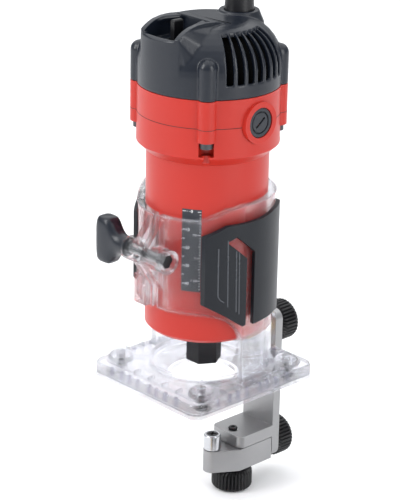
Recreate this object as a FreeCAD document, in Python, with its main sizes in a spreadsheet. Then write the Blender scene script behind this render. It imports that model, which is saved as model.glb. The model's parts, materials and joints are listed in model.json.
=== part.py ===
import FreeCAD, Part
import math
import os
import re

import Sketcher

# A trim router: a slim motor that slides up and down in a clear base, with a trimmer
# guide bolted behind it. Frame: +Z up, origin on the spindle axis at the underside of
# the base, front of the tool (clamp and switch) towards -Y, cord and guide towards +Y.

# ---------------------------------------------------------------- driving dimensions

SIZES = {
    # base plate and sleeve
    "plate_width": 84,
    "plate_depth": 90,
    "plate_top": 8.2,
    "plate_round": 7,
    "plate_bevel": 1.2,
    "protector_thick": 2,
    "protector_opening": 17.5,
    "plate_opening": 26,
    "screw_spread": 32,
    "base_screw_radius": 2,
    "base_screw_head": 3.8,
    "slide_gap": 0.3,
    "sleeve_wall": 3.7,
    "sleeve_top": 109,
    "sleeve_front_top": 101.5,
    "window_top": 50,
    "window_edge": 6,
    "window_round": 22,
    "foot_flare": 2.5,
    "split_gap": 3,
    "pad_width": 24,
    "pad_top": 28,
    # base clamp
    "clamp_drop": 42,
    "clamp_height": 81,
    "ear_web": 4.5,
    "ear_left": 14,
    "ear_right": 17,
    "ear_radius": 6.5,
    "clamp_bolt_radius": 2.5,
    "clamp_hex": 8,
    "hex_pocket": 6,
    "bolt_head": 3.5,
    "wing_height": 26,
    "wing_depth": 11,
    "wing_thick": 10.5,
    "wing_end": 36,
    "wing_round": 4,
    # rubber grips
    "grip_thick": 2.4,
    "grip_edge": 27,
    "grip_groove": 4.5,
    # motor housings
    "barrel_radius": 32.5,
    "barrel_bottom": 32,
    "flare_start": 131,
    "flare_end": 136,
    "ring_radius": 37.8,
    "lower_seam": 152,
    "upper_seam": 166.8,
    "shell_wall": 3,
    "nose_radius": 11.5,
    "boss_angle": 45,
    "boss_circle": 36,
    "boss_radius": 5,
    "boss_foot": 145,
    "boss_tip": 183,
    "housing_screw_radius": 2,
    "housing_screw_head": 3.4,
    "screw_clearance": 0.1,
    "brush_height": 153,
    "brush_boss": 11,
    "brush_reach": 38.9,
    "cap_radius": 8,
    "cap_thick": 5,
    # top cover, switch and cord entry
    "shoulder_start": 178,
    "shoulder_radius": 22.6,
    "cover_wall": 2.5,
    "vent_width": 3.6,
    "vent_bottom": 174.2,
    "vent_inner": 25,
    "vent_pitch": 9.1,
    "turret_half": 14.5,
    "turret_top": 203,
    "turret_lip": 195,
    "recess_half": 11.5,
    "recess_back": 12.5,
    "recess_floor": 192,
    "switch_roof": 189.5,
    "switch_bottom": 176,
    "lever_pivot": 181,
    "lever_y": 23.25,
    "lever_depth": 6.5,
    "lever_thick": 3,
    "lever_top": 203.4,
    "lever_pin_radius": 1,
    "cord_entry": 20.7,
    "collar_radius": 10.4,
    "collar_top": 202,
    "guard_root": 7.85,
    "guard_tip": 4.8,
    "guard_top": 250,
    "cord_radius": 3.5,
    # depth scale
    "scale_thick": 0.8,
    "scale_low": 61.5,
    "scale_high": 107,
    # spindle
    "nut_flats": 17,
    "nut_bottom": 10,
    "nut_length": 21,
    "collet_bore": 3,
    "spindle_thread": 6,
    "shaft_radius": 3.95,
    "bearing_bore": 4,
    "bearing_low_radius": 11,
    "bearing_low_bottom": 36,
    "bearing_low_width": 7,
    "shaft_top_radius": 3.45,
    "bearing_top_bore": 3.5,
    "bearing_top_radius": 9.5,
    "bearing_top_bottom": 164,
    "bearing_top_width": 6,
    "core_radius": 17,
    "core_bottom": 70,
    "core_length": 42,
    "air_gap": 0.6,
    "coil_overhang": 9,
    "commutator_radius": 11,
    "commutator_length": 16,
    "fan_radius": 26,
    "fan_bottom": 49,
    "fan_height": 10,
    "running_gap": 0.05,
    # trimmer guide
    "guide_shift": -1.5,
    "guide_half": 12,
    "guide_gap": 0.2,
    "bracket_thick": 5.5,
    "bracket_top": 27.5,
    "bracket_bottom": -62,
    "guide_stud": 3,
    "guide_stud_height": 16,
    "guide_travel_up": 25,
    "guide_travel_down": 3,
    "slot_side": 0.2,
    "foot_front": 20,
    "foot_top": -41.6,
    "foot_thick": 7,
    "block_thick": 13,
    "nose_y": 9.5,
    "nose_round": 5,
    "block_travel": 8,
    "stud_b_y": 25.5,
    "adjust_radius": 2.5,
    "knob_radius": 11.5,
    "knob_length": 13,
    "knob_flutes": 32,
    "roller_radius": 4.8,
    "roller_height": 9,
    "roller_pin": 1.5,
    # cord
    "coil_turn_radius": 38.5,
    "coil_width": 21,
    "coil_height": 14,
    "coil_x": 115,
    "coil_lead": 27,
    "plug_lead": 31,
    "coil_inset": 0.3,
    "plug_length": 40,
    "plug_width": 26,
    "plug_thick": 14,
    "pin_radius": 2.4,
    "pin_length": 19,
    "pin_spacing": 19,
}

doc = FreeCAD.newDocument("TrimRouter")
sheet = doc.addObject("Spreadsheet::Sheet", "Sizes")
for row, (word, value) in enumerate(SIZES.items(), start=1):
    sheet.set(f"A{row}", word)
    sheet.set(f"B{row}", str(value))
    sheet.setAlias(f"B{row}", word)
doc.recompute()

# ---------------------------------------------------------------- modelling helpers

PIECES = []
PLANES = {
    "XY": FreeCAD.Rotation(),
    "XZ": FreeCAD.Rotation(FreeCAD.Vector(1, 0, 0), 90),
    "YZ": FreeCAD.Rotation(0.5, 0.5, 0.5, 0.5),
}
ALONG = {
    "Z": FreeCAD.Rotation(),
    "-Z": FreeCAD.Rotation(FreeCAD.Vector(1, 0, 0), 180),
    "X": FreeCAD.Rotation(FreeCAD.Vector(0, 1, 0), 90),
    "-X": FreeCAD.Rotation(FreeCAD.Vector(0, 1, 0), -90),
    "Y": FreeCAD.Rotation(FreeCAD.Vector(1, 0, 0), -90),
    "-Y": FreeCAD.Rotation(FreeCAD.Vector(1, 0, 0), 90),
}


def bind(formula):
    """A formula written in the sheet's words, with each word pointing at its cell."""
    def point(match):
        word = match.group(0)
        return "Sizes." + word if word in SIZES else word
    return re.sub(r"[A-Za-z_]+", point, str(formula))


def size(formula):
    """The present value of a formula, in millimetres."""
    return float(sheet.evalExpression(bind(formula)))


def place(thing, at, along="Z"):
    """Put a body or primitive at three formulas, with its own Z turned along an axis."""
    thing.Placement = FreeCAD.Placement(FreeCAD.Vector(), ALONG[along])
    for letter, formula in zip("xyz", at):
        thing.setExpression(f"Placement.Base.{letter}", bind(formula))
    return thing


def outline(sketch, corners):
    """A closed outline of straight lines; every corner is tied to the sheet."""
    points = [FreeCAD.Vector(size(across), size(up), 0) for across, up in corners]
    count = len(points)
    first = sketch.GeometryCount
    for i, point in enumerate(points):
        sketch.addGeometry(Part.LineSegment(point, points[(i + 1) % count]), False)
    for i in range(count):
        following = first + (i + 1) % count
        sketch.addConstraint(Sketcher.Constraint("Coincident", first + i, 2, following, 1))
    for i, (across, up) in enumerate(corners):
        for kind, name, formula, value in (
            ("DistanceX", "across", across, points[i].x),
            ("DistanceY", "up", up, points[i].y),
        ):
            index = sketch.addConstraint(
                Sketcher.Constraint(kind, -1, 1, first + i, 1, value))
            sketch.renameConstraint(index, f"{name}_{first + i}")
            sketch.setExpression(f"Constraints.{name}_{first + i}", bind(formula))
    return sketch


def ring(sketch, radius, at=("0", "0")):
    """A circle whose radius and centre are tied to the sheet."""
    centre = FreeCAD.Vector(size(at[0]), size(at[1]), 0)
    curve = Part.Circle(centre, FreeCAD.Vector(0, 0, 1), size(radius))
    index = sketch.addGeometry(curve, False)
    for kind, name, formula, value in (
        ("Radius", "round", radius, size(radius)),
        ("DistanceX", "across", at[0], centre.x),
        ("DistanceY", "up", at[1], centre.y),
    ):
        if kind == "Radius":
            constraint = Sketcher.Constraint(kind, index, value)
        else:
            constraint = Sketcher.Constraint(kind, -1, 1, index, 3, value)
        number = sketch.addConstraint(constraint)
        sketch.renameConstraint(number, f"{name}_{index}")
        sketch.setExpression(f"Constraints.{name}_{index}", bind(formula))
    return sketch


class Piece:
    """One separate piece made as a PartDesign body."""

    def __init__(self, label, at=("0", "0", "0"), along="Z"):
        self.body = doc.addObject("PartDesign::Body", label)
        self.body.Label = label
        place(self.body, at, along)
        self.features = 0
        PIECES.append(self.body)

    def origin(self, role):
        return next(f for f in self.body.Origin.OriginFeatures if f.Role == role)

    def sketch(self, plane="XY_Plane", offset="0"):
        self.features += 1
        made = self.body.newObject(
            "Sketcher::SketchObject", f"{self.body.Name}_sketch{self.features}")
        made.AttachmentSupport = [(self.origin(plane), "")]
        made.MapMode = "FlatFace"
        made.setExpression("AttachmentOffset.Base.z", bind(offset))
        return made

    def feature(self, kind, profile):
        made = self.body.newObject(
            f"PartDesign::{kind}", f"{self.body.Name}_{kind.lower()}{self.features}")
        made.Profile = profile
        return made

    def pad(self, profile, length):
        made = self.feature("Pad", profile)
        made.setExpression("Length", bind(length))
        doc.recompute([self.body])
        return made

    def pocket(self, profile, length):
        """Cut upwards from the sketch, and make sure that it cut."""
        before = self.body.Shape.Volume
        made = self.feature("Pocket", profile)
        made.setExpression("Length", bind(length))
        made.Reversed = True
        doc.recompute([self.body])
        if self.body.Shape.Volume >= before:
            raise ValueError(f"{self.body.Label}: a pocket cut nothing")
        return made

    def turned(self, corners):
        """Turn a half section, given as radius and height, about the piece's own Z."""
        profile = outline(self.sketch("XZ_Plane"), corners)
        made = self.feature("Revolution", profile)
        made.ReferenceAxis = (profile, ["V_Axis"])
        made.Angle = 360
        doc.recompute([self.body])
        return made

    def around(self, features, count):
        """Repeat features evenly about the piece's own Z."""
        made = self.body.newObject(
            "PartDesign::PolarPattern", f"{self.body.Name}_pattern{self.features}")
        made.Originals = features
        made.Axis = (self.origin("Z_Axis"), [""])
        made.Angle = 360
        made.Occurrences = count
        self.body.Tip = made
        doc.recompute([self.body])
        return made

    def hexagon_pad(self, flats, start, length, turn=0):
        """A hexagonal prism, given by its width across flats."""
        reach = f"({flats}) / 2 / cos(30)"
        corners = [
            (f"({reach}) * cos({60 * i + turn})", f"({reach}) * sin({60 * i + turn})")
            for i in range(6)
        ]
        return self.pad(outline(self.sketch(offset=start), corners), length)


def named(label, thing):
    """Keep a finished boolean as a separate piece of the tool."""
    thing.Label = label
    PIECES.append(thing)
    return thing


def box(name, low, dims):
    made = doc.addObject("Part::Box", name)
    for prop, formula in zip(("Length", "Width", "Height"), dims):
        made.setExpression(prop, bind(formula))
    return place(made, low)


def cylinder(name, radius, height, at=("0", "0", "0"), along="Z"):
    made = doc.addObject("Part::Cylinder", name)
    made.setExpression("Radius", bind(radius))
    made.setExpression("Height", bind(height))
    return place(made, at, along)


def cone(name, low_radius, high_radius, height, at=("0", "0", "0"), along="Z"):
    made = doc.addObject("Part::Cone", name)
    made.setExpression("Radius1", bind(low_radius))
    made.setExpression("Radius2", bind(high_radius))
    made.setExpression("Height", bind(height))
    return place(made, at, along)


def prism(name, plane, corners, start, length):
    """An outline on a plane, pushed along the plane's normal from start by length."""
    drawn = doc.addObject("Sketcher::SketchObject", name + "_outline")
    turn = PLANES[plane]
    drawn.Placement = FreeCAD.Placement(FreeCAD.Vector(), turn)
    outline(drawn, corners)
    normal = turn.multVec(FreeCAD.Vector(0, 0, 1))
    for letter, part in zip("xyz", normal):
        if abs(part) > 0.5:
            drawn.setExpression(
                f"Placement.Base.{letter}", bind(f"({start}) * {round(part)}"))
    made = doc.addObject("Part::Extrusion", name)
    made.Base = drawn
    made.DirMode = "Normal"
    made.setExpression("LengthFwd", bind(length))
    made.Solid = True
    return made


def lathe(name, corners, at=("0", "0", "0")):
    """A half section, given as radius and height, turned about a vertical line."""
    drawn = doc.addObject("Sketcher::SketchObject", name + "_section")
    drawn.Placement = FreeCAD.Placement(FreeCAD.Vector(), PLANES["XZ"])
    outline(drawn, corners)
    made = doc.addObject("Part::Revolution", name)
    made.Source = drawn
    made.Axis = FreeCAD.Vector(0, 0, 1)
    made.Base = FreeCAD.Vector(0, 0, 0)
    made.Angle = 360
    made.Solid = True
    return place(made, at)


def join(name, things):
    made = doc.addObject("Part::MultiFuse", name)
    made.Shapes = things
    made.Refine = False
    return made


def overlap(name, things):
    made = doc.addObject("Part::MultiCommon", name)
    made.Shapes = things
    return made


def cut(name, base, tools):
    made = doc.addObject("Part::Cut", name)
    made.Base = base
    made.Tool = tools[0] if len(tools) == 1 else join(name + "_tools", tools)
    made.Refine = False
    return made


def rounded(name, base, radius, wanted, kind="Fillet"):
    """Round or bevel the straight or curved edges that a test picks."""
    doc.recompute([base])
    made = doc.addObject(f"Part::{kind}", name)
    made.Base = base
    reach = size(radius)
    made.Edges = [
        (i, reach, reach) for i, edge in enumerate(base.Shape.Edges, start=1) if wanted(edge)
    ]
    return made


def spin(name, thing, degrees):
    """A copy of a cutter or boss, turned about the spindle axis."""
    made = doc.addObject("Part::Compound", name)
    made.Links = [thing]
    made.Placement = FreeCAD.Placement(
        FreeCAD.Vector(), FreeCAD.Rotation(FreeCAD.Vector(0, 0, 1), degrees))
    return made


def upright(edge):
    low, high = edge.BoundBox.ZMin, edge.BoundBox.ZMax
    return edge.BoundBox.XLength < 0.01 and edge.BoundBox.YLength < 0.01 and high - low > 1


SCREW_CORNERS = [(1, 1), (-1, 1), (-1, -1), (1, -1)]
SIDES = {"right": 1, "left": -1}


# ---------------------------------------------------------------- clear base

def clear_plate():
    """Moulded plate with its bit opening and a raised boss for each corner screw."""
    blank = box(
        "plate_blank", ("-plate_width / 2", "-plate_depth / 2", "protector_thick"),
        ("plate_width", "plate_depth", "plate_top - protector_thick"))
    plate = rounded("plate_rounded", blank, "plate_round", upright)

    def top_rim(edge):
        return abs(edge.BoundBox.ZMin - size("plate_top")) < 0.01 and edge.BoundBox.ZLength < 0.01

    plate = rounded("plate_bevelled", plate, "plate_bevel", top_rim, "Chamfer")
    bosses = []
    holes = [cone("plate_funnel", "protector_opening + 2", "plate_opening",
                  "plate_top - protector_thick", ("0", "0", "protector_thick"))]
    for i, (sx, sy) in enumerate(SCREW_CORNERS):
        x, y = f"{sx} * screw_spread", f"{sy} * screw_spread"
        bosses.append(cylinder(f"corner_boss_{i}", "base_screw_head + 2",
                               "plate_top + 2.5 - protector_thick", (x, y, "protector_thick")))
        holes.append(cylinder(f"corner_hole_{i}", "base_screw_radius + 0.05", "9",
                              (x, y, "protector_thick - 1")))
    return named("clear_plate", cut("clear_plate", join("plate_solid", [plate] + bosses), holes))


def clear_sleeve():
    """Slotted sleeve on the plate: open front, clamp ears, and a pad for the guide's screw."""
    bore = "barrel_radius + slide_gap"
    outer = "barrel_radius + slide_gap + sleeve_wall"
    sleeve = lathe("sleeve", [
        (bore, "plate_top"), (f"{outer} + foot_flare", "plate_top"),
        (outer, "plate_top + foot_flare"), (outer, "sleeve_top"), (bore, "sleeve_top"),
    ])
    over = box(
        "front_room", ("-100", "-100", "sleeve_front_top"),
        ("200", "100 - grip_edge", "40"))
    slope = prism("top_slope", "YZ", [
        ("-grip_edge - 1", "sleeve_front_top"),
        ("-grip_edge", "sleeve_front_top"),
        ("-grip_edge * 0.55", "sleeve_front_top + (sleeve_top - sleeve_front_top) * 0.8"),
        ("-window_edge", "sleeve_top"),
        ("-window_edge", "sleeve_top + 10"),
        ("-grip_edge - 1", "sleeve_top + 10"),
    ], "-100", "200")
    window_blank = box(
        "window_blank", ("-100", "-100", "plate_top - 1"),
        ("200", "100 - window_edge", "window_top - plate_top + 1"))

    def window_corner(edge):
        middle = edge.BoundBox.Center
        along_x = edge.BoundBox.XLength > 100
        at_top = abs(middle.z - size("window_top")) < 0.1
        return along_x and at_top and abs(middle.y + size("window_edge")) < 0.1

    window = rounded("window", window_blank, "window_round", window_corner)
    walls = cut("sleeve_open", sleeve, [over, slope, window])
    ear_profile = [
        (f"-({bore})", "sleeve_front_top - 2"),
        (f"-({outer})", "sleeve_front_top - 2"),
        ("-clamp_drop - ear_radius * 0.8", "clamp_height + ear_radius * 0.8"),
        ("-clamp_drop - ear_radius * 0.8", "clamp_height - ear_radius * 0.6"),
        (f"-({outer})", "clamp_height - ear_radius * 3"),
        (f"-({bore})", "clamp_height - ear_radius * 3"),
    ]
    parts = [
        walls,
        prism("ear_webs", "YZ", ear_profile, "-split_gap / 2 - ear_web",
              "2 * ear_web + split_gap"),
        cylinder("ear_bosses", "ear_radius", "ear_left + ear_right",
                 ("-ear_left", "-clamp_drop", "clamp_height"), "X"),
        box("front_rib", ("-ear_left + 1", f"-({outer}) - 3", "window_top"),
            ("9", "sleeve_wall + 3", "16")),
        box("guide_pad", ("guide_shift - pad_width / 2", bore, "plate_top"),
            ("pad_width", f"plate_depth / 2 - ({bore})", "pad_top - plate_top")),
    ]
    holes = [
        box("split", ("-split_gap / 2", "-100", "window_top - 10"), ("split_gap", "75", "100")),
        cylinder("clamp_hole", "clamp_bolt_radius + 0.2", "100",
                 ("-50", "-clamp_drop", "clamp_height"), "X"),
        prism("hex_socket", "YZ", [
            (f"-clamp_drop + clamp_hex / 1.70 * cos({60 * i})",
             f"clamp_height + clamp_hex / 1.70 * sin({60 * i})") for i in range(6)
        ], "ear_right - hex_pocket", "hex_pocket + 1"),
        cylinder("insert_hole", "guide_stud + 2", "20",
                 ("guide_shift", "plate_depth / 2 - 8", "guide_stud_height"), "Y"),
        cylinder("insert_through", "guide_stud + 0.3", "20",
                 ("guide_shift", f"{bore} - 4", "guide_stud_height"), "Y"),
    ]
    return named("clear_sleeve", cut("clear_sleeve", join("sleeve_solid", parts), holes))


def base_protector():
    """Flat smooth sheet under the base, with countersunk corner screws."""
    piece = Piece("base_protector")
    half_x = "plate_width / 2"
    half_y = "plate_depth / 2"
    trim = "plate_round * 0.6"
    corners = [
        (f"-{half_x}", f"-{half_y} + {trim}"), (f"-{half_x} + {trim}", f"-{half_y}"),
        (f"{half_x} - {trim}", f"-{half_y}"), (half_x, f"-{half_y} + {trim}"),
        (half_x, f"{half_y} - {trim}"), (f"{half_x} - {trim}", half_y),
        (f"-{half_x} + {trim}", half_y), (f"-{half_x}", f"{half_y} - {trim}"),
    ]
    piece.pad(outline(piece.sketch(), corners), "protector_thick")
    opening = ring(piece.sketch(), "protector_opening")
    piece.pocket(opening, "protector_thick")
    heads = piece.sketch()
    for sx, sy in SCREW_CORNERS:
        ring(heads, "base_screw_head", (f"{sx} * screw_spread", f"{sy} * screw_spread"))
    piece.pocket(heads, "protector_thick")


def base_screws():
    """Four pan-headed screws that hold the protector to the base."""
    piece = Piece("base_screws")
    heads = piece.sketch(offset="0.4")
    shanks = piece.sketch(offset="0.4")
    for sx, sy in SCREW_CORNERS:
        centre = (f"{sx} * screw_spread", f"{sy} * screw_spread")
        ring(heads, "base_screw_head - 0.1", centre)
        ring(shanks, "base_screw_radius", centre)
    piece.pad(heads, "protector_thick - 0.4")
    piece.pad(shanks, "plate_top - 0.8")


def grips():
    """One rubber grip on each side, in two panels that join above an open groove."""
    skin = "barrel_radius + slide_gap + sleeve_wall"
    edge = "grip_edge"
    bent = "grip_groove * 1.1"
    profile = [
        (f"-{edge}", "56"), (f"-{edge}", "sleeve_front_top - 7.4"),
        (f"-{edge} * 0.64", "sleeve_front_top - 1.6"), ("4", "sleeve_top - 8.1"),
        (f"{edge} * 0.55", "sleeve_top - 6.5"), (edge, "sleeve_top - 6"),
        (edge, "41.5"), ("18.8", "43.5"), ("3.3", "43"), ("-1.6", "42.7"),
        ("-1.6", "83.8"), ("-12.6", "93.4"), (f"-12.6 - {bent}", "91"),
        (f"-1.6 - {bent}", "80.9"), (f"-1.6 - {bent}", "43.4"), ("-8.4", "42.8"),
        ("-17.1", "49.4"),
    ]
    for side, sign in SIDES.items():
        wall = lathe(f"grip_wall_{side}", [
            (f"{skin} + running_gap", "30"), (f"{skin} + grip_thick", "30"),
            (f"{skin} + grip_thick", "sleeve_top"), (f"{skin} + running_gap", "sleeve_top"),
        ])
        start = "0" if sign > 0 else "-100"
        shape = prism(f"grip_shape_{side}", "YZ", profile, start, "100")
        named(f"grip_{side}", overlap(f"grip_{side}", [wall, shape]))


# ---------------------------------------------------------------- base clamp

def clamp_bolt():
    """Hexagon bolt across the split; its head sits in the right ear's pocket."""
    piece = Piece("clamp_bolt", ("ear_right - hex_pocket", "-clamp_drop", "clamp_height"), "-X")
    piece.pad(ring(piece.sketch(), "clamp_bolt_radius"), "ear_right + ear_left - hex_pocket + 13")
    piece.hexagon_pad("clamp_hex", "-bolt_head", "bolt_head", 30)


def clamp_knob():
    """Wing knob that draws the two ears together."""
    start = "-ear_left - guide_gap"
    root = "-wing_end + wing_thick"
    bar = box("wing_blank", ("-wing_end", "-clamp_drop - wing_depth / 2",
                             "clamp_height - wing_height / 2"),
              ("wing_thick", "wing_depth", "wing_height"))
    bar = rounded("wing_bar", bar, "wing_round", lambda edge: edge.Length > 5)
    flare = prism("wing_flare", "XZ", [
        (start, "clamp_height - 5"), (start, "clamp_height + 5"),
        ("-ear_left - 4", "clamp_height + 5.4"),
        (f"({root} - ear_left) / 2", "clamp_height + 8"),
        (root, "clamp_height + wing_height * 0.44"),
        (f"{root} - 4", "clamp_height + wing_height * 0.44"),
        (f"{root} - 4", "clamp_height - wing_height * 0.44"),
        (root, "clamp_height - wing_height * 0.44"),
        (f"({root} - ear_left) / 2", "clamp_height - 8"),
        ("-ear_left - 4", "clamp_height - 5.4"),
    ], "clamp_drop - wing_depth * 0.38", "wing_depth * 0.76")
    neck = cylinder("wing_neck", "5.2", "8", ("-ear_left - guide_gap - 8", "-clamp_drop",
                                              "clamp_height"), "X")
    body = join("wing_solid", [bar, flare, neck])
    thread = cylinder("wing_thread", "clamp_bolt_radius + running_gap", "13.5",
                      ("-ear_left - 13.5", "-clamp_drop", "clamp_height"), "X")
    named("clamp_knob", cut("clamp_knob", body, [thread]))


# ---------------------------------------------------------------- motor housings

def boss_spots():
    return [SIZES["boss_angle"] + 90 * i for i in range(4)]


def at_boss(degrees):
    return (f"boss_circle * cos({degrees})", f"boss_circle * sin({degrees})")


def brush_axis(sign, start):
    """A point on the brush axis, at a distance start from the spindle axis."""
    return (f"{sign} * ({start})", "0", "brush_height")


def motor_housing_lower():
    """Barrel: the cylinder that slides in the base, with the lower bearing's seat."""
    inner = "barrel_radius - shell_wall"
    seat_top = "bearing_low_bottom + bearing_low_width + 2"
    shell = lathe("barrel_shell", [
        ("nose_radius", "barrel_bottom"), ("barrel_radius - 2", "barrel_bottom"),
        ("barrel_radius", "barrel_bottom + 2"), ("barrel_radius", "flare_start"),
        ("ring_radius", "flare_end"), ("ring_radius", "lower_seam"),
        ("ring_radius - shell_wall", "lower_seam"),
        ("ring_radius - shell_wall", "flare_end + 1"),
        (inner, "flare_start + 1"), (inner, "barrel_bottom + 5"),
        ("bearing_low_radius + 3", "barrel_bottom + 5"),
        ("bearing_low_radius + 3", seat_top), ("bearing_low_radius", seat_top),
        ("bearing_low_radius", "bearing_low_bottom"),
        ("bearing_low_radius - 1.5", "bearing_low_bottom"),
        ("bearing_low_radius - 1.5", "barrel_bottom + 2"),
        ("nose_radius", "barrel_bottom + 2"),
    ])
    envelope = cylinder("ring_envelope", "ring_radius", "lower_seam - flare_end",
                        ("0", "0", "flare_end"))
    parts = [shell]
    cutters = []
    for i, degrees in enumerate(boss_spots()):
        x, y = at_boss(degrees)
        inside = cylinder(f"inner_boss_{i}", "boss_radius + 1.5", "lower_seam - flare_end",
                          (x, y, "flare_end"))
        parts.append(overlap(f"inner_boss_cut_{i}", [inside, envelope]))
        parts.append(cylinder(f"outer_boss_{i}", "boss_radius", "lower_seam - boss_foot",
                              (x, y, "boss_foot")))
        cutters.append(cylinder(f"screw_hole_{i}", "housing_screw_radius + screw_clearance",
                                "60", (x, y, "boss_foot - 30")))
        cutters.append(cylinder(f"head_room_{i}", "housing_screw_head + 0.8",
                                "boss_foot - flare_end - 1", (x, y, "flare_end + 1")))
    for side, sign in SIDES.items():
        start = brush_axis(sign, "24")
        cutters.append(cylinder(f"brush_notch_{side}", "brush_boss + 0.1", "30", start,
                                "X" if sign > 0 else "-X"))
    cutters.append(scale_recess("scale_recess"))
    return named("motor_housing_lower",
                 cut("motor_housing_lower", join("barrel_solid", parts), cutters))


def scale_recess(name):
    """The curved place of the depth scale in the barrel's face."""
    face = lathe(name + "_face", [
        ("barrel_radius - scale_thick", "scale_low"), ("barrel_radius", "scale_low"),
        ("barrel_radius", "scale_high"), ("barrel_radius - scale_thick", "scale_high"),
    ])
    wedge = prism(name + "_wedge", "XY", [
        ("0", "0"), ("60 * cos(-66.5)", "60 * sin(-66.5)"), ("60 * cos(-48)", "60 * sin(-48)"),
    ], "0", "200")
    return overlap(name, [face, wedge])


def motor_housing_upper():
    """Ring between barrel and cover: brush bosses, screw bosses and upper bearing hub."""
    inner = "ring_radius - shell_wall"
    high = "upper_seam - lower_seam"
    wall = lathe("ring_wall", [
        (inner, "lower_seam"), ("ring_radius", "lower_seam"),
        ("ring_radius", "upper_seam"), (inner, "upper_seam"),
    ])
    hub_bottom = "bearing_top_bottom - 1.5"
    hub_top = "bearing_top_bottom + bearing_top_width"
    hub = cylinder("bearing_hub", "bearing_top_radius + 2.5", f"{hub_top} - ({hub_bottom})",
                   ("0", "0", hub_bottom))
    arms = box("hub_arm", (f"-({inner}) - 0.5", "-4", hub_bottom),
               (f"2 * ({inner}) + 1", "8", f"upper_seam - ({hub_bottom})"))
    parts = [wall, hub]
    parts += [spin(f"hub_arm_{i}", arms, 45 + 90 * i) for i in range(2)]
    cutters = [
        cylinder("bearing_seat", "bearing_top_radius", "20", ("0", "0", "bearing_top_bottom")),
        cylinder("hub_hole", "bearing_top_bore + 3", "20", ("0", "0", f"{hub_bottom} - 5")),
    ]
    for i, degrees in enumerate(boss_spots()):
        x, y = at_boss(degrees)
        parts.append(cylinder(f"ring_boss_{i}", "boss_radius", high, (x, y, "lower_seam")))
        cutters.append(cylinder(f"ring_hole_{i}", "housing_screw_radius + screw_clearance",
                                f"{high} + 10", (x, y, "lower_seam - 5")))
    for side, sign in SIDES.items():
        along = "X" if sign > 0 else "-X"
        parts.append(cylinder(f"brush_boss_{side}", "brush_boss", "brush_reach - 24",
                              brush_axis(sign, "24"), along))
        cutters.append(cylinder(f"cap_bore_{side}", "cap_radius", "20",
                                brush_axis(sign, "brush_reach - cap_thick"), along))
        cutters.append(cylinder(f"holder_bore_{side}", "6.1", "30",
                                brush_axis(sign, "20"), along))
    return named("motor_housing_upper",
                 cut("motor_housing_upper", join("ring_solid", parts), cutters))


def housing_screws():
    """Four screws, put in from below, that hold ring and cover to the barrel."""
    piece = Piece("housing_screws")
    heads = piece.sketch(offset="boss_foot - 3.4")
    shanks = piece.sketch(offset="boss_foot - 0.5")
    for degrees in boss_spots():
        ring(heads, "housing_screw_head", at_boss(degrees))
        ring(shanks, "housing_screw_radius", at_boss(degrees))
    piece.pad(heads, "3.4")
    piece.pad(shanks, "boss_tip - boss_foot - 6")


def dome_corners(outer_radius, shoulder, bottom, closed_radius):
    """Half section of the cover's dome: straight wall, then a quarter-round shoulder."""
    corners = [(closed_radius, bottom), (outer_radius, bottom)]
    steps = 10
    for i in range(steps + 1):
        degrees = 90 * i / steps
        corners.append((f"{outer_radius} - ({shoulder}) + ({shoulder}) * cos({degrees})",
                        f"shoulder_start + ({shoulder}) * sin({degrees})"))
    corners.append((closed_radius, f"shoulder_start + ({shoulder})"))
    return corners


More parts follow.
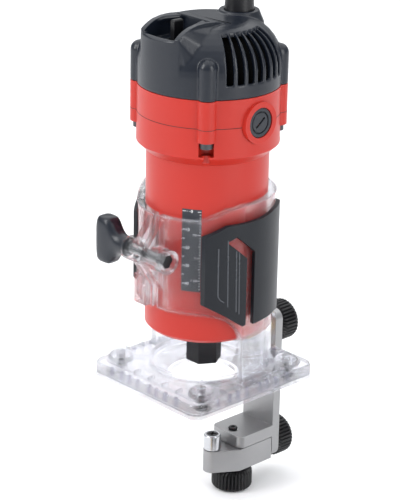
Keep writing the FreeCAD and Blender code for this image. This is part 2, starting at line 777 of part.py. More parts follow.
def top_cover():
    """Domed cover with side vents, the switch turret at the front and the cord collar."""
    dome = lathe("dome", dome_corners("ring_radius", "shoulder_radius", "upper_seam", "0"))
    front = cylinder("turret_round", "ring_radius", "turret_top - upper_seam",
                     ("0", "0", "upper_seam"))
    turret_side = prism("turret_side", "YZ", [
        ("-ring_radius - 1", "upper_seam + 1"), ("-ring_radius - 1", "turret_lip + 1"),
        ("-ring_radius + 3.5", "turret_top - 3.5"), ("-ring_radius + 10", "turret_top - 0.7"),
        ("-18", "turret_top"), ("-8", "turret_top - 0.8"), ("-1", "turret_top - 2.8"),
        ("-1", "upper_seam + 1"),
    ], "-turret_half", "2 * turret_half")
    turret = overlap("turret", [front, turret_side])
    parts = [dome, turret]
    parts.append(cone("cord_collar", "collar_radius + 3", "collar_radius",
                      "collar_top - turret_lip", ("0", "cord_entry", "turret_lip")))
    for i, degrees in enumerate(boss_spots()):
        x, y = at_boss(degrees)
        parts.append(cylinder(f"cover_boss_{i}", "boss_radius", "boss_tip - upper_seam",
                              (x, y, "upper_seam")))
        tip = doc.addObject("Part::Sphere", f"cover_boss_tip_{i}")
        tip.setExpression("Radius", bind("boss_radius"))
        parts.append(place(tip, (x, y, "boss_tip")))
    solid = join("cover_solid", parts)
    hollow = lathe("hollow_round", dome_corners(
        "ring_radius - cover_wall", "shoulder_radius - cover_wall", "upper_seam - 1", "0"))
    floor_keep = box("floor_keep", ("-turret_half", "-60", "switch_roof"),
                     ("2 * turret_half", "60 - recess_back + cover_wall", "40"))
    inside = cut("hollow", hollow, [floor_keep])
    posts = [
        cylinder(f"screw_post_{i}", "boss_radius - 0.5", "60",
                 (*at_boss(degrees), "upper_seam - 5"))
        for i, degrees in enumerate(boss_spots())
    ]
    inside = cut("hollow_clear", inside, posts)
    recess = prism("recess", "YZ", [
        ("-60", "turret_lip"), ("-ring_radius + 2.4", "turret_lip - 0.6"),
        ("-lever_y - 5", "recess_floor"), ("-recess_back - 1.5", "recess_floor"),
        ("-recess_back", "recess_floor + 2"), ("-recess_back + 2", "turret_top + 1"),
        ("-60", "turret_top + 1"),
    ], "-recess_half", "2 * recess_half")
    cutters = [inside, recess]
    cutters.append(box("lever_slot", ("-7", "-lever_y - lever_depth / 2 - 0.5", "180"),
                       ("9.5", "lever_depth + 1", "20")))
    slot = box("vent_slot", ("vent_inner", "-vent_width / 2", "vent_bottom"),
               ("30", "vent_width", "40"))
    for half_turn in (0, 180):
        for i in range(7):
            turn = size("vent_pitch") * (i - 3) + half_turn
            cutters.append(spin(f"vent_{half_turn}_{i}", slot, turn))
    for i, degrees in enumerate(boss_spots()):
        x, y = at_boss(degrees)
        cutters.append(cylinder(f"cover_hole_{i}", "housing_screw_radius + screw_clearance",
                                "boss_tip - upper_seam - 4", (x, y, "upper_seam - 2")))
    cutters.append(cylinder("guard_hole", "guard_root", "30", ("0", "cord_entry", "185")))
    return named("top_cover", cut("top_cover", solid, cutters))


def scale_plate():
    """Depth scale let into the barrel's face."""
    named("scale_plate", scale_recess("scale_plate"))


# ---------------------------------------------------------------- brush gear

def brush_gear():
    """Cap, holder and carbon brush on each side of the commutator."""
    face = "commutator_radius + 0.1"
    for side, sign in SIDES.items():
        along = "X" if sign > 0 else "-X"
        cap = Piece(f"brush_cap_{side}", brush_axis(sign, "brush_reach - cap_thick"), along)
        cap.pad(ring(cap.sketch(), "cap_radius"), "cap_thick - 0.4")
        groove = cap.sketch(offset="cap_thick - 1.6")
        outline(groove, [("-4", "-0.6"), ("4", "-0.6"), ("4", "0.6"), ("-4", "0.6")])
        cap.pocket(groove, "2")
        holder = Piece(f"brush_holder_{side}", brush_axis(sign, "commutator_radius + 2"), along)
        square = holder.sketch()
        outline(square, [("-4", "-4.5"), ("4", "-4.5"), ("4", "4.5"), ("-4", "4.5")])
        outline(square, [("-2.6", "-3.1"), ("2.6", "-3.1"), ("2.6", "3.1"), ("-2.6", "3.1")])
        holder.pad(square, "brush_reach - cap_thick - commutator_radius - 2")
        brush = Piece(f"carbon_brush_{side}", brush_axis(sign, face), along)
        block = brush.sketch()
        outline(block, [("-2.5", "-3"), ("2.5", "-3"), ("2.5", "3"), ("-2.5", "3")])
        brush.pad(block, "14")
        spring = Piece(f"brush_spring_{side}", brush_axis(sign, f"{face} + 14"), along)
        coil = spring.sketch()
        ring(coil, "2.3")
        ring(coil, "1.7")
        spring.pad(coil, f"brush_reach - cap_thick - ({face}) - 14")


# ---------------------------------------------------------------- motor inside

def field():
    """Laminated field core and its coils, fixed in the barrel."""
    core = Piece("field_core")
    core.turned([
        ("core_radius + air_gap", "core_bottom"),
        ("barrel_radius - shell_wall - 0.1", "core_bottom"),
        ("barrel_radius - shell_wall - 0.1", "core_bottom + core_length"),
        ("core_radius + air_gap", "core_bottom + core_length"),
    ])
    for name, start in (("field_coil_lower", "core_bottom - coil_overhang"),
                        ("field_coil_upper", "core_bottom + core_length")):
        coil = Piece(name)
        coil.turned([
            ("core_radius + 2", start), ("barrel_radius - shell_wall - 3", start),
            ("barrel_radius - shell_wall - 3", f"{start} + coil_overhang"),
            ("core_radius + 2", f"{start} + coil_overhang"),
        ])


def bearing(label, bore, radius, bottom, width):
    """Ball bearing: two grooved rings with a ring of balls between them."""
    middle = (size(bore) + size(radius)) / 2
    ball = (size(radius) - size(bore)) * 0.24
    high = size(width)
    inner = Part.makeCylinder(middle - ball * 0.7, high).cut(Part.makeCylinder(size(bore), high))
    outer = Part.makeCylinder(size(radius) - 0.02, high)
    outer = outer.cut(Part.makeCylinder(middle + ball * 0.7, high))
    track = Part.makeTorus(middle, ball + 0.02, FreeCAD.Vector(0, 0, high / 2))
    count = 7
    balls = []
    for i in range(count):
        angle = 2 * math.pi * i / count
        centre = FreeCAD.Vector(middle * math.cos(angle), middle * math.sin(angle), high / 2)
        balls.append(Part.makeSphere(ball, centre))
    made = doc.addObject("Part::Feature", label)
    made.Shape = Part.makeCompound([inner.cut(track), outer.cut(track)] + balls)
    made.Label = label
    place(made, ("0", "0", bottom))
    PIECES.append(made)


# ---------------------------------------------------------------- spindle

def spindle():
    """Everything that turns: shaft, armature, commutator, fan, collet and nut."""
    nut_top = "nut_bottom + nut_length"
    bearing_end = "bearing_top_bottom + bearing_top_width"
    shaft = Piece("armature_shaft")
    shaft.turned([
        ("5.02", "nut_bottom + 5"), ("spindle_thread", "nut_bottom + 5"),
        ("spindle_thread", f"{nut_top} + 2"), ("7.5", f"{nut_top} + 2"),
        ("7.5", "bearing_low_bottom - 0.1"),
        ("shaft_radius", "bearing_low_bottom - 0.1"), ("shaft_radius", "bearing_top_bottom - 3"),
        ("shaft_top_radius", "bearing_top_bottom - 3"), ("shaft_top_radius", bearing_end),
        ("0", bearing_end), ("0", f"{nut_top} + 3"), ("3.2", f"{nut_top} + 3"),
        ("3.2", "nut_bottom + 18"), ("4.02", "nut_bottom + 18"),
    ])
    core = Piece("armature_core")
    core.turned([
        ("shaft_radius", "core_bottom"), ("core_radius", "core_bottom"),
        ("core_radius", "core_bottom + core_length"), ("shaft_radius", "core_bottom + core_length"),
    ])
    slots = core.sketch(offset="core_bottom")
    outline(slots, [("core_radius - 4", "-0.8"), ("core_radius + 1", "-0.8"),
                    ("core_radius + 1", "0.8"), ("core_radius - 4", "0.8")])
    one = core.pocket(slots, "core_length")
    core.around([one], 12)
    for name, start in (("armature_winding_lower", "core_bottom - coil_overhang"),
                        ("armature_winding_upper", "core_bottom + core_length")):
        winding = Piece(name)
        winding.turned([
            ("shaft_radius + 1", start), ("core_radius - 3", start),
            ("core_radius - 1.5", f"{start} + coil_overhang / 2"),
            ("core_radius - 3", f"{start} + coil_overhang"),
            ("shaft_radius + 1", f"{start} + coil_overhang"),
        ])
    commutator = Piece("commutator")
    half = "commutator_length / 2"
    commutator.turned([
        ("shaft_radius", f"brush_height - {half}"), ("commutator_radius", f"brush_height - {half}"),
        ("commutator_radius", f"brush_height + {half}"), ("shaft_radius", f"brush_height + {half}"),
    ])
    fan = Piece("cooling_fan")
    fan.turned([
        ("shaft_radius", "fan_bottom"), ("8", "fan_bottom"), ("8", "fan_bottom + 2"),
        ("fan_radius", "fan_bottom + 2"), ("fan_radius", "fan_bottom + 4"),
        ("8", "fan_bottom + 5"), ("8", "fan_bottom + fan_height"),
        ("shaft_radius", "fan_bottom + fan_height"),
    ])
    blade = fan.sketch(offset="fan_bottom + 3")
    outline(blade, [("9", "-0.8"), ("fan_radius - 0.5", "4"), ("fan_radius - 0.5", "5.8"),
                    ("9", "0.8")])
    one = fan.pad(blade, "fan_height - 3")
    fan.around([one], 11)
    cone_piece = Piece("collet_cone")
    cone_piece.turned([
        ("collet_bore", "nut_bottom + 0.5"), ("4.6", "nut_bottom + 0.5"),
        ("5", "nut_bottom + 5"), ("4", "nut_bottom + 18"), ("collet_bore", "nut_bottom + 18"),
    ])
    nut = Piece("collet_nut", ("0", "0", "nut_bottom"))
    nut.hexagon_pad("nut_flats", "0", "nut_length")
    nose = nut.sketch()
    ring(nose, "5.05")
    nut.pocket(nose, "nut_length")
    thread = nut.sketch(offset="5")
    ring(thread, "spindle_thread")
    nut.pocket(thread, "nut_length")


# ---------------------------------------------------------------- switch and cord entry

def switch():
    """Switch block under the turret, its pivot pin and the lever."""
    front = "-lever_y - lever_depth / 2 - 2"
    case = box("switch_case", ("-11", front, "switch_bottom"),
               ("20", "lever_depth + 5", "switch_roof - switch_bottom"))
    well = box("switch_well", ("-8", "-lever_y - lever_depth / 2 - 0.4", "switch_bottom + 2"),
               ("12", "lever_depth + 0.8", "30"))
    pin_hole = cylinder("switch_pin_hole", "lever_pin_radius", "30",
                        ("0", "-lever_y - 15", "lever_pivot"), "Y")
    named("switch_body", cut("switch_body", case, [well, pin_hole]))
    pin = Piece("lever_pin", ("0", front, "lever_pivot"), "Y")
    pin.pad(ring(pin.sketch(), "lever_pin_radius"), "lever_depth + 5")
    stem = box("lever_stem", ("-lever_thick / 2", "-lever_y - lever_depth / 2", "lever_pivot"),
               ("lever_thick", "lever_depth", "lever_top - lever_pivot"))

    def crown(edge):
        return edge.BoundBox.ZMin > size("lever_top") - 0.1

    paddle = rounded("lever_paddle", stem, "lever_thick * 0.4", crown)
    barrel = cylinder("lever_barrel", "2.4", "lever_depth",
                      ("0", "-lever_y - lever_depth / 2", "lever_pivot"), "Y")
    eye = cylinder("lever_eye", "lever_pin_radius + running_gap", "30",
                   ("0", "-lever_y - 15", "lever_pivot"), "Y")
    named("switch_lever", cut("switch_lever", join("lever_solid", [paddle, barrel]), [eye]))


def cord_guard():
    """Tapered sleeve that keeps the cord from bending sharply at the cover."""
    piece = Piece("cord_guard", ("0", "cord_entry", "0"))
    piece.turned([
        ("0", "188"), ("guard_root + 1.6", "188"), ("guard_root + 1.6", "190"),
        ("guard_root - 0.02", "190"), ("guard_root - 0.02", "collar_top"),
        ("guard_root - 0.5", "collar_top + 8"), ("guard_tip + 0.6", "guard_top - 8"),
        ("guard_tip", "guard_top"), ("0", "guard_top"),
    ])


# ---------------------------------------------------------------- trimmer guide

def knob(label, at, along):
    """Fluted round knob; its own Z is the screw axis, from the clamped face outwards."""
    piece = Piece(label, at, along)
    piece.turned([
        ("guide_stud + 0.02", "0"), ("knob_radius - 4", "0"), ("knob_radius - 4", "1.5"),
        ("knob_radius - 1.5", "1.5"), ("knob_radius", "3"), ("knob_radius", "knob_length - 1.5"),
        ("knob_radius - 1.5", "knob_length"), ("3.5", "knob_length"),
        ("3.5", "knob_length - 1"), ("0", "knob_length - 1"), ("0", "knob_length - 4"),
        ("guide_stud + 0.02", "knob_length - 4"),
    ])
    flute = piece.sketch(offset="1.6")
    ring(flute, "0.55", ("knob_radius + 0.1", "0"))
    one = piece.pocket(flute, "knob_length")
    piece.around([one], int(size("knob_flutes")))


def bolt(label, radius, at, along, length):
    piece = Piece(label, at, along)
    piece.pad(ring(piece.sketch(), radius), length)


def guide():
    """Bracket with its foot, sliding block with the roller, and three knob screws."""
    rear = "plate_depth / 2 + guide_gap"
    back = f"{rear} + bracket_thick"
    left = "guide_shift - guide_half"
    wide = "2 * guide_half"
    foot_bottom = "foot_top - foot_thick"
    block_top = f"{foot_bottom} - guide_gap"
    block_low = f"{block_top} - block_thick"
    screw_level = f"{block_top} - block_thick / 2"

    plate = box("bracket_blank", (left, rear, "bracket_bottom"),
                (wide, "bracket_thick", "bracket_top - bracket_bottom"))

    def across(edge):
        return edge.BoundBox.YLength > 2 and edge.BoundBox.XLength < 0.01

    plate = rounded("bracket_plate", plate, "guide_half * 0.45", across)
    foot = box("foot_blank", (left, "foot_front", foot_bottom),
               (wide, f"{rear} - foot_front + 1", "foot_thick"))

    def front_corner(edge):
        return upright(edge) and edge.BoundBox.Center.y < size("foot_front") + 0.1

    foot = rounded("foot_block", foot, "nose_round - 1", front_corner)
    slot_half = "guide_stud + slot_side"
    slot_low = "guide_stud_height - guide_travel_up"
    slot_high = "guide_stud_height + guide_travel_down"
    cutters = [
        box("stud_slot", (f"guide_shift - ({slot_half})", f"{rear} - 2", slot_low),
            (f"2 * ({slot_half})", "bracket_thick + 4", f"{slot_high} - ({slot_low})")),
        cylinder("stud_b_thread", "guide_stud + running_gap", "30",
                 ("guide_shift", "stud_b_y", f"{foot_bottom} - 5")),
        cylinder("adjust_hole", "adjust_radius + running_gap", "30",
                 ("guide_shift", f"{rear} - 5", screw_level), "Y"),
    ]
    for name, level in (("low", slot_low), ("high", slot_high)):
        cutters.append(cylinder(f"slot_end_{name}", slot_half, "bracket_thick + 4",
                                ("guide_shift", f"{rear} - 2", level), "Y"))
    named("guide_holder", cut("guide_holder", join("holder_solid", [plate, foot]), cutters))

    tip = cylinder("slide_tip", "nose_round", "block_thick",
                   ("guide_shift", "nose_y", block_low))
    wedge = prism("slide_body", "XY", [
        (left, "plate_depth / 2 - 0.3"), (left, "foot_front"),
        ("guide_shift - nose_round * 0.94", "nose_y - nose_round * 0.34"),
        ("guide_shift + nose_round * 0.94", "nose_y - nose_round * 0.34"),
        ("guide_shift + guide_half", "foot_front"),
        ("guide_shift + guide_half", "plate_depth / 2 - 0.3"),
    ], block_low, "block_thick")
    slot_end = "stud_b_y + block_travel"
    tools = [
        box("block_slot", (f"guide_shift - ({slot_half})", "stud_b_y", f"{block_low} - 1"),
            (f"2 * ({slot_half})", "block_travel", "block_thick + 2")),
        cylinder("block_slot_front", slot_half, "block_thick + 2",
                 ("guide_shift", "stud_b_y", f"{block_low} - 1")),
        cylinder("block_slot_back", slot_half, "block_thick + 2",
                 ("guide_shift", slot_end, f"{block_low} - 1")),
        cylinder("block_thread", "adjust_radius + running_gap", "20",
                 ("guide_shift", slot_end, screw_level), "Y"),
        cylinder("pin_hole", "roller_pin", "30", ("guide_shift", "nose_y", f"{block_top} - 8")),
    ]
    named("guide_slide", cut("guide_slide", join("slide_solid", [tip, wedge]), tools))

    pin = Piece("roller_pin", ("guide_shift", "nose_y", block_top))
    pin.pad(ring(pin.sketch(offset="-8"), "roller_pin"), "roller_height + 5.5")
    pin.pad(ring(pin.sketch(offset="roller_height - 2.2"), "3"), "1.6")
    roller = Piece("guide_roller", ("guide_shift", "nose_y", f"{block_top} + guide_gap"))
    roller.turned([
        ("roller_pin + running_gap", "0"), ("roller_radius - 0.3", "0"),
        ("roller_radius", "0.3"), ("roller_radius", "roller_height - 0.5"),
        ("roller_radius - 0.5", "roller_height"), ("3.3", "roller_height"),
        ("3.3", "roller_height - 2.6"), ("roller_pin + running_gap", "roller_height - 2.6"),
    ])

    washer = Piece("guide_washer", ("guide_shift", f"{back} + guide_gap", "guide_stud_height"), "Y")
    disc = washer.sketch()
    ring(disc, "7")
    ring(disc, "guide_stud + 0.1")
    washer.pad(disc, "1.2")
    insert = Piece("guide_insert", ("guide_shift", "plate_depth / 2 - 8", "guide_stud_height"), "Y")
    sleeve = insert.sketch()
    ring(sleeve, "guide_stud + 2")
    ring(sleeve, "guide_stud + running_gap")
    insert.pad(sleeve, "8")

    knob("guide_clamp_knob", ("guide_shift", f"{back} + guide_gap + 1.3", "guide_stud_height"), "Y")
    bolt("guide_clamp_stud", "guide_stud",
         ("guide_shift", "plate_depth / 2 - 9", "guide_stud_height"), "Y",
         "9 + 2 * guide_gap + bracket_thick + 1.3 + knob_length - 4")
    knob("adjusting_knob", ("guide_shift", f"{back} + guide_gap", screw_level), "Y")
    adjust_start = "stud_b_y + guide_stud + 1"
    bolt("adjusting_rod", "adjust_radius", ("guide_shift", adjust_start, screw_level), "Y",
         f"{back} + guide_gap + knob_length - 4 - ({adjust_start})")
    knob("slide_clamp_knob", ("guide_shift", "stud_b_y", f"{block_low} - guide_gap - 1.5"), "-Z")
    neck = Piece("slide_clamp_washer", ("guide_shift", "stud_b_y", f"{block_low} - guide_gap"), "-Z")
    disc = neck.sketch()
    ring(disc, "6.5")
    ring(disc, "guide_stud + 0.1")
    neck.pad(disc, "1.4")
    bolt("slide_clamp_stud", "guide_stud", ("guide_shift", "stud_b_y", "foot_top - 0.3"), "-Z",
         "foot_thick + block_thick + 2 * guide_gap + 1.2 + knob_length - 4")


# ---------------------------------------------------------------- cord

def floor_level():
    """Height of the cord's centre where it lies on the surface under the guide."""
    knob_face = "foot_top - foot_thick - 2 * guide_gap - block_thick - 1.5"
    return f"({knob_face} - knob_length + cord_radius)"


CORD_ROUTE = [
    (0, 20.7, 250),
    (0, 20.7, 284),
    (21, 28, 317),
    (64, 42, 329),
    (110, 57, 310),
    (143, 70, 268),
    (158, 80, 210),
    (163, 86, 142),
    (159, 88, 72),
    (162, 87, 6),
    (161, 88.5, -49.3),
    (160.5, 63, -74.8),
    (160.5, 27, -74.8),
]


def cord():
    """Free cord: a tube along straight runs and tangent arcs, then its put-away coil."""
    level = size(floor_level())
    radius = size("cord_radius")
    points = [FreeCAD.Vector(*point) for point in CORD_ROUTE]
    for point in points[:2]:
        point.y = size("cord_entry")
    points[0].z = size("guard_top")
    for point in points[-2:]:
        point.z = level
    points[-1].y = size("coil_lead")
    for point in points[-2:]:
        point.x = size("coil_x + coil_turn_radius + coil_width / 2 - cord_radius - coil_inset")
    edges = []
    here = points[0]
    for before, corner, after in zip(points, points[1:], points[2:]):
        arriving = (corner - before).normalize()
        leaving = (after - corner).normalize()
        half = arriving.getAngle(leaving) / 2
        tangent = 0.45 * min((corner - before).Length, (after - corner).Length)
        bend = tangent / math.tan(half)
        print(f"cord bend radius {bend:.1f} mm, turn {math.degrees(2 * half):.0f} degrees")
        start = corner - arriving * tangent
        end = corner + leaving * tangent
        inward = (leaving - arriving).normalize()
        middle = corner + inward * (bend / math.cos(half) - bend)
        edges.append(Part.LineSegment(here, start).toShape())
        edges.append(Part.Arc(start, middle, end).toShape())
        here = end
    edges.append(Part.LineSegment(here, points[-1]).toShape())
    path = Part.Wire(edges)
    direction = (points[1] - points[0]).normalize()
    section = Part.Wire(Part.Circle(points[0], direction, radius).toShape())
    tube = path.makePipeShell([section], True, True)
    expected = math.pi * radius ** 2 * path.Length
    print(f"cord tube {path.Length:.1f} mm, volume ratio {tube.Volume / expected:.4f}")
    made = doc.addObject("Part::Feature", "cord")
    made.Shape = tube
    made.Label = "cord"
    PIECES.append(made)

    turn = "coil_turn_radius"
    low = f"{floor_level()} - cord_radius - coil_inset"
    hoop = lathe("coil_hoop", [
        (f"{turn} - coil_width / 2", low), (f"{turn} + coil_width / 2", low),
        (f"{turn} + coil_width / 2", f"{low} + coil_height"),
        (f"{turn} - coil_width / 2", f"{low} + coil_height"),
    ], ("coil_x", "0", "0"))
    edge = f"({turn} + coil_width / 2 - cord_radius - coil_inset)"
    lead_in = cylinder("coil_lead_in", "cord_radius", "coil_lead",
                       (f"coil_x + {edge}", "0", floor_level()), "Y")
    plug_level = f"({low} + plug_thick / 2)"
    lead_out = cylinder("coil_lead_out", "cord_radius", "plug_lead",
                        ("coil_x", f"-{edge}", plug_level), "-X")
    named("cord_coil", join("cord_coil", [hoop, lead_in, lead_out]))

    start = "coil_x - plug_lead"
    nose = cone("plug_sleeve", "cord_radius + 1", "plug_thick / 2 - 1", "12",
                (start, f"-{edge}", plug_level), "-X")
    head = box("plug_head", (f"{start} - plug_length", f"-{edge} - plug_width / 2", low),
               ("plug_length - 11", "plug_width", "plug_thick"))

    def long_edge(edge_shape):
        return edge_shape.BoundBox.XLength > 5

    head = rounded("plug_rounded", head, "plug_thick * 0.3", long_edge)
    sockets = []
    pins = []
    for i, sign in enumerate((1, -1)):
        spot = (f"{start} - plug_length + 4", f"-{edge} + {sign} * pin_spacing / 2", plug_level)
        sockets.append(cylinder(f"pin_socket_{i}", "pin_radius", "5", spot, "-X"))
        pins.append(cylinder(f"pin_{i}", "pin_radius", "pin_length + 4", spot, "-X"))
    named("plug_body", cut("plug_body", join("plug_solid", [nose, head]), sockets))
    pair = doc.addObject("Part::Compound", "plug_pins")
    pair.Links = pins
    named("plug_pins", pair)


# ---------------------------------------------------------------- build and write

clear_plate()
clear_sleeve()
base_protector()
base_screws()
grips()
clamp_bolt()
clamp_knob()
motor_housing_lower()
motor_housing_upper()
housing_screws()
top_cover()
scale_plate()
brush_gear()
field()
bearing("bearing_lower", "bearing_bore", "bearing_low_radius", "bearing_low_bottom",
        "bearing_low_width")
bearing("bearing_upper", "bearing_top_bore", "bearing_top_radius", "bearing_top_bottom",
        "bearing_top_width")
spindle()
switch()
cord_guard()
guide()
cord()
doc.recompute()

faults = [
    f"{thing.Name}: {state}" for thing in doc.Objects for state in thing.State
    if state in ("Invalid", "Error")
]
for piece in PIECES:
    if piece.Shape.isNull() or not piece.Shape.isValid() or not piece.Shape.Solids:
        faults.append(f"{piece.Label}: no valid solid")
if faults:
    raise ValueError("; ".join(faults))

os.makedirs("parts", exist_ok=True)
for piece in PIECES:
    piece.Shape.exportStep(f"parts/{piece.Label}.step")
print(f"{len(PIECES)} pieces, {sum(len(p.Shape.Solids) for p in PIECES)} solids")
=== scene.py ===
import bpy
import bmesh
import json
import math
from mathutils import Matrix, Vector
from mathutils.bvhtree import BVHTree


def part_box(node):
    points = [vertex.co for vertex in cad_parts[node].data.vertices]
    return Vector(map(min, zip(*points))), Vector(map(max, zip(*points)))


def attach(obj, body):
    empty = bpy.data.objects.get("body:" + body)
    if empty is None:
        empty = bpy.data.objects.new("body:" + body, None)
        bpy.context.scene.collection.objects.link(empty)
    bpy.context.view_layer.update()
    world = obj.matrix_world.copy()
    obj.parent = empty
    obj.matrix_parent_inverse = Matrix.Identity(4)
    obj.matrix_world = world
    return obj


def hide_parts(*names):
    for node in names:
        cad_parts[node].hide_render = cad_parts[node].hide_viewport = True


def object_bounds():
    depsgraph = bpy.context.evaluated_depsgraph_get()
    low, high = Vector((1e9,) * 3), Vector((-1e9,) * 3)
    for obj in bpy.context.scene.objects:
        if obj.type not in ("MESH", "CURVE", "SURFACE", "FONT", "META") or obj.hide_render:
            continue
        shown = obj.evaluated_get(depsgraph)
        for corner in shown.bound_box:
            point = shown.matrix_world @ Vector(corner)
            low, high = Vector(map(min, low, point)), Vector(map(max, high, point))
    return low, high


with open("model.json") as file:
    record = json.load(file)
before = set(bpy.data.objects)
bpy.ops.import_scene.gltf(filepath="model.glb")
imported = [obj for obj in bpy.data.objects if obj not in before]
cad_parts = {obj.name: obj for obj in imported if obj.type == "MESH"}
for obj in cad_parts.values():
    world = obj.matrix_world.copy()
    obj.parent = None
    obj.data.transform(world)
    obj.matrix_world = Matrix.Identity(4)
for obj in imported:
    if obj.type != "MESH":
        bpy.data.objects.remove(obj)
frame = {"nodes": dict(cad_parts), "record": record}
cad_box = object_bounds()

# %% [markdown]
# A trim router is a slim motor that slides in a clear plastic base. The CAD model gives
# every piece its place and size, in metres, with the spindle on the Z axis and the
# underside of the base at zero. Here each piece gets its finish, and the pieces whose
# detail is finer than the CAD, such as knobs, scale, grips and cord, are made again.

# %% Units and scene
MM = 0.001
scene = bpy.context.scene
scene.view_settings.view_transform = "Standard"


def mm(*numbers):
    """A vector given in millimetres."""
    return Vector(numbers) * MM


# %% Helpers that hand over a finished mesh
def as_mesh(work, name):
    """Turn a finished bmesh into a named mesh, and free the bmesh."""
    mesh = bpy.data.meshes.new(name)
    work.to_mesh(mesh)
    work.free()
    return mesh


def merged(name, meshes):
    """Several meshes as one mesh, in the order given."""
    work = bmesh.new()
    for mesh in meshes:
        work.from_mesh(mesh)
    return as_mesh(work, name)


def baked(holder):
    """The mesh of an object as its modifiers or its text shape it."""
    bpy.context.view_layer.update()
    shaped = holder.evaluated_get(bpy.context.evaluated_depsgraph_get())
    return bpy.data.meshes.new_from_object(shaped)


# %% [markdown]
# The camera looks down on the tool from its front right corner through a long lens, so
# upright lines stay nearly parallel. Its place is given by the direction it stands in, its
# distance and its height; its tilt and a slight roll then turn it.

# %% Camera
CAMERA_DISTANCE = 0.98618
CAMERA_LEFT = 0.00306
CAMERA_HEIGHT = 0.44454
camera_azimuth = math.radians(46.35)
camera_tilt = math.radians(20.65)
camera_roll = math.radians(1.08)
back = Vector((math.sin(camera_azimuth), -math.cos(camera_azimuth), 0))
right = Vector((math.cos(camera_azimuth), math.sin(camera_azimuth), 0))
forward = -back * math.cos(camera_tilt) - Vector((0, 0, math.sin(camera_tilt)))
up = right.cross(forward)
rolled_right = right * math.cos(camera_roll) + up * math.sin(camera_roll)
rolled_up = up * math.cos(camera_roll) - right * math.sin(camera_roll)

camera_data = bpy.data.cameras.new("camera")
camera_data.sensor_width = 36
camera_data.lens = 141.64
camera = bpy.data.objects.new("camera", camera_data)
scene.collection.objects.link(camera)
turn = Matrix((rolled_right, rolled_up, -forward)).transposed().to_4x4()
place = back * CAMERA_DISTANCE - right * CAMERA_LEFT + Vector((0, 0, CAMERA_HEIGHT))
camera.matrix_world = Matrix.Translation(place) @ turn
scene.camera = camera
print("camera at", [round(value, 3) for value in camera.location])

# %% [markdown]
# The mains cord is one real length of rubber cable. It leaves the guard straight up, bends
# over under its own weight and hangs down beside the tool. What is left is wound into a neat
# coil on the surface below, and the plug lies beside it. A NURBS curve follows the same
# points as the CAD tube, and a loop works out the turns of the coil. Each point's radius of
# one thousandth scales the bevel, so that the bevel's depth is given in millimetres.

# %% Cord route: free run, then the coil
CORD_RADIUS = 3.5
COIL_CENTRE_X = 115
COIL_FLOOR = -73.3
TURN_RADII = (45.2, 38.2, 31.2)
LAYER_RISE = 7
POINT_STEP = 15
COIL_END = 1890
PLUG_LEVEL = -69.8
route = [
    (0, 20.7, 250), (0, 20.7, 284), (21, 28, 317), (64, 42, 329), (110, 57, 310),
    (143, 70, 268), (158, 80, 210), (163, 86, 142), (159, 88, 72), (162, 87, 6),
    (161, 88.5, -49.3), (160.2, 63, -73), (160.2, 27, -73),
]


def ramp(value, start, length=60):
    """0 before start, 1 after start plus length, and smooth in between."""
    share = min(1.0, max(0.0, (value - start) / length))
    return share * share * (3 - 2 * share)


outer, middle, inner = TURN_RADII
for degrees in range(0, COIL_END + 1, POINT_STEP):
    inward = (outer - middle) * (ramp(degrees, 300) + ramp(degrees, 660))
    outward = (outer - middle) * (ramp(degrees, 1320) + ramp(degrees, 1680))
    radius = outer - inward + outward
    height = COIL_FLOOR + LAYER_RISE * ramp(degrees, 955)
    angle = -math.radians(degrees)
    route.append((COIL_CENTRE_X + radius * math.cos(angle), radius * math.sin(angle), height))
top_layer = COIL_FLOOR + LAYER_RISE
route += [(COIL_CENTRE_X - 16, -outer, top_layer), (COIL_CENTRE_X - 24, -outer, top_layer - 1),
          (COIL_CENTRE_X - 31, -outer, PLUG_LEVEL)]

cord_curve = bpy.data.curves.new("mains_cord", "CURVE")
cord_curve.dimensions = "3D"
cord_curve.bevel_depth = CORD_RADIUS
cord_curve.bevel_resolution = 6
cord_curve.use_fill_caps = True
strand = cord_curve.splines.new("NURBS")
strand.points.add(len(route) - 1)
for point, spot in zip(strand.points, route):
    point.co = (*mm(*spot), 1)
    point.radius = MM
strand.order_u = 3
strand.use_endpoint_u = True
strand.resolution_u = 8
mains_cord = bpy.data.objects.new("mains_cord", cord_curve)
scene.collection.objects.link(mains_cord)
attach(mains_cord, "motor")
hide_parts("cord", "cord_coil")
steps = [(mm(*b) - mm(*a)).length for a, b in zip(route, route[1:])]
print("cord of", round(sum(steps), 3), "m through", len(route), "points")

# %% [markdown]
# Every surface starts from one Principled shader. Three effects return in many finishes,
# so each is a node group: the fine grain of moulded plastic, slow changes of tone as from
# handling, and worn edges. A group only puts out masks, colours and heights.

# %% Node helpers
def new_group(name, inputs, outputs):
    group = bpy.data.node_groups.new(name, "ShaderNodeTree")
    for label, kind, value in inputs:
        socket = group.interface.new_socket(label, in_out="INPUT", socket_type=kind)
        socket.default_value = value
    for label, kind in outputs:
        group.interface.new_socket(label, in_out="OUTPUT", socket_type=kind)
    return group, group.nodes.new("NodeGroupInput"), group.nodes.new("NodeGroupOutput")


def node(tree, kind, inputs=None, **settings):
    """Add one node, set its properties, and give its sockets values or links."""
    made = tree.nodes.new(kind)
    for key, value in settings.items():
        setattr(made, key, value)
    for key, value in (inputs or {}).items():
        if isinstance(value, bpy.types.NodeSocket):
            tree.links.new(value, made.inputs[key])
        else:
            made.inputs[key].default_value = value
    return made


# %% Grain group: the height of a moulded or cast surface
grain_group, grain_in, grain_out = new_group(
    "grain",
    [("Scale", "NodeSocketFloat", 900.0), ("Detail", "NodeSocketFloat", 4.0)],
    [("Height", "NodeSocketFloat")],
)
where = node(grain_group, "ShaderNodeTexCoord")
speckle = node(grain_group, "ShaderNodeTexNoise", {
    "Vector": where.outputs["Object"], "Scale": grain_in.outputs["Scale"],
    "Detail": grain_in.outputs["Detail"]})
grain_group.links.new(speckle.outputs["Fac"], grain_out.inputs["Height"])

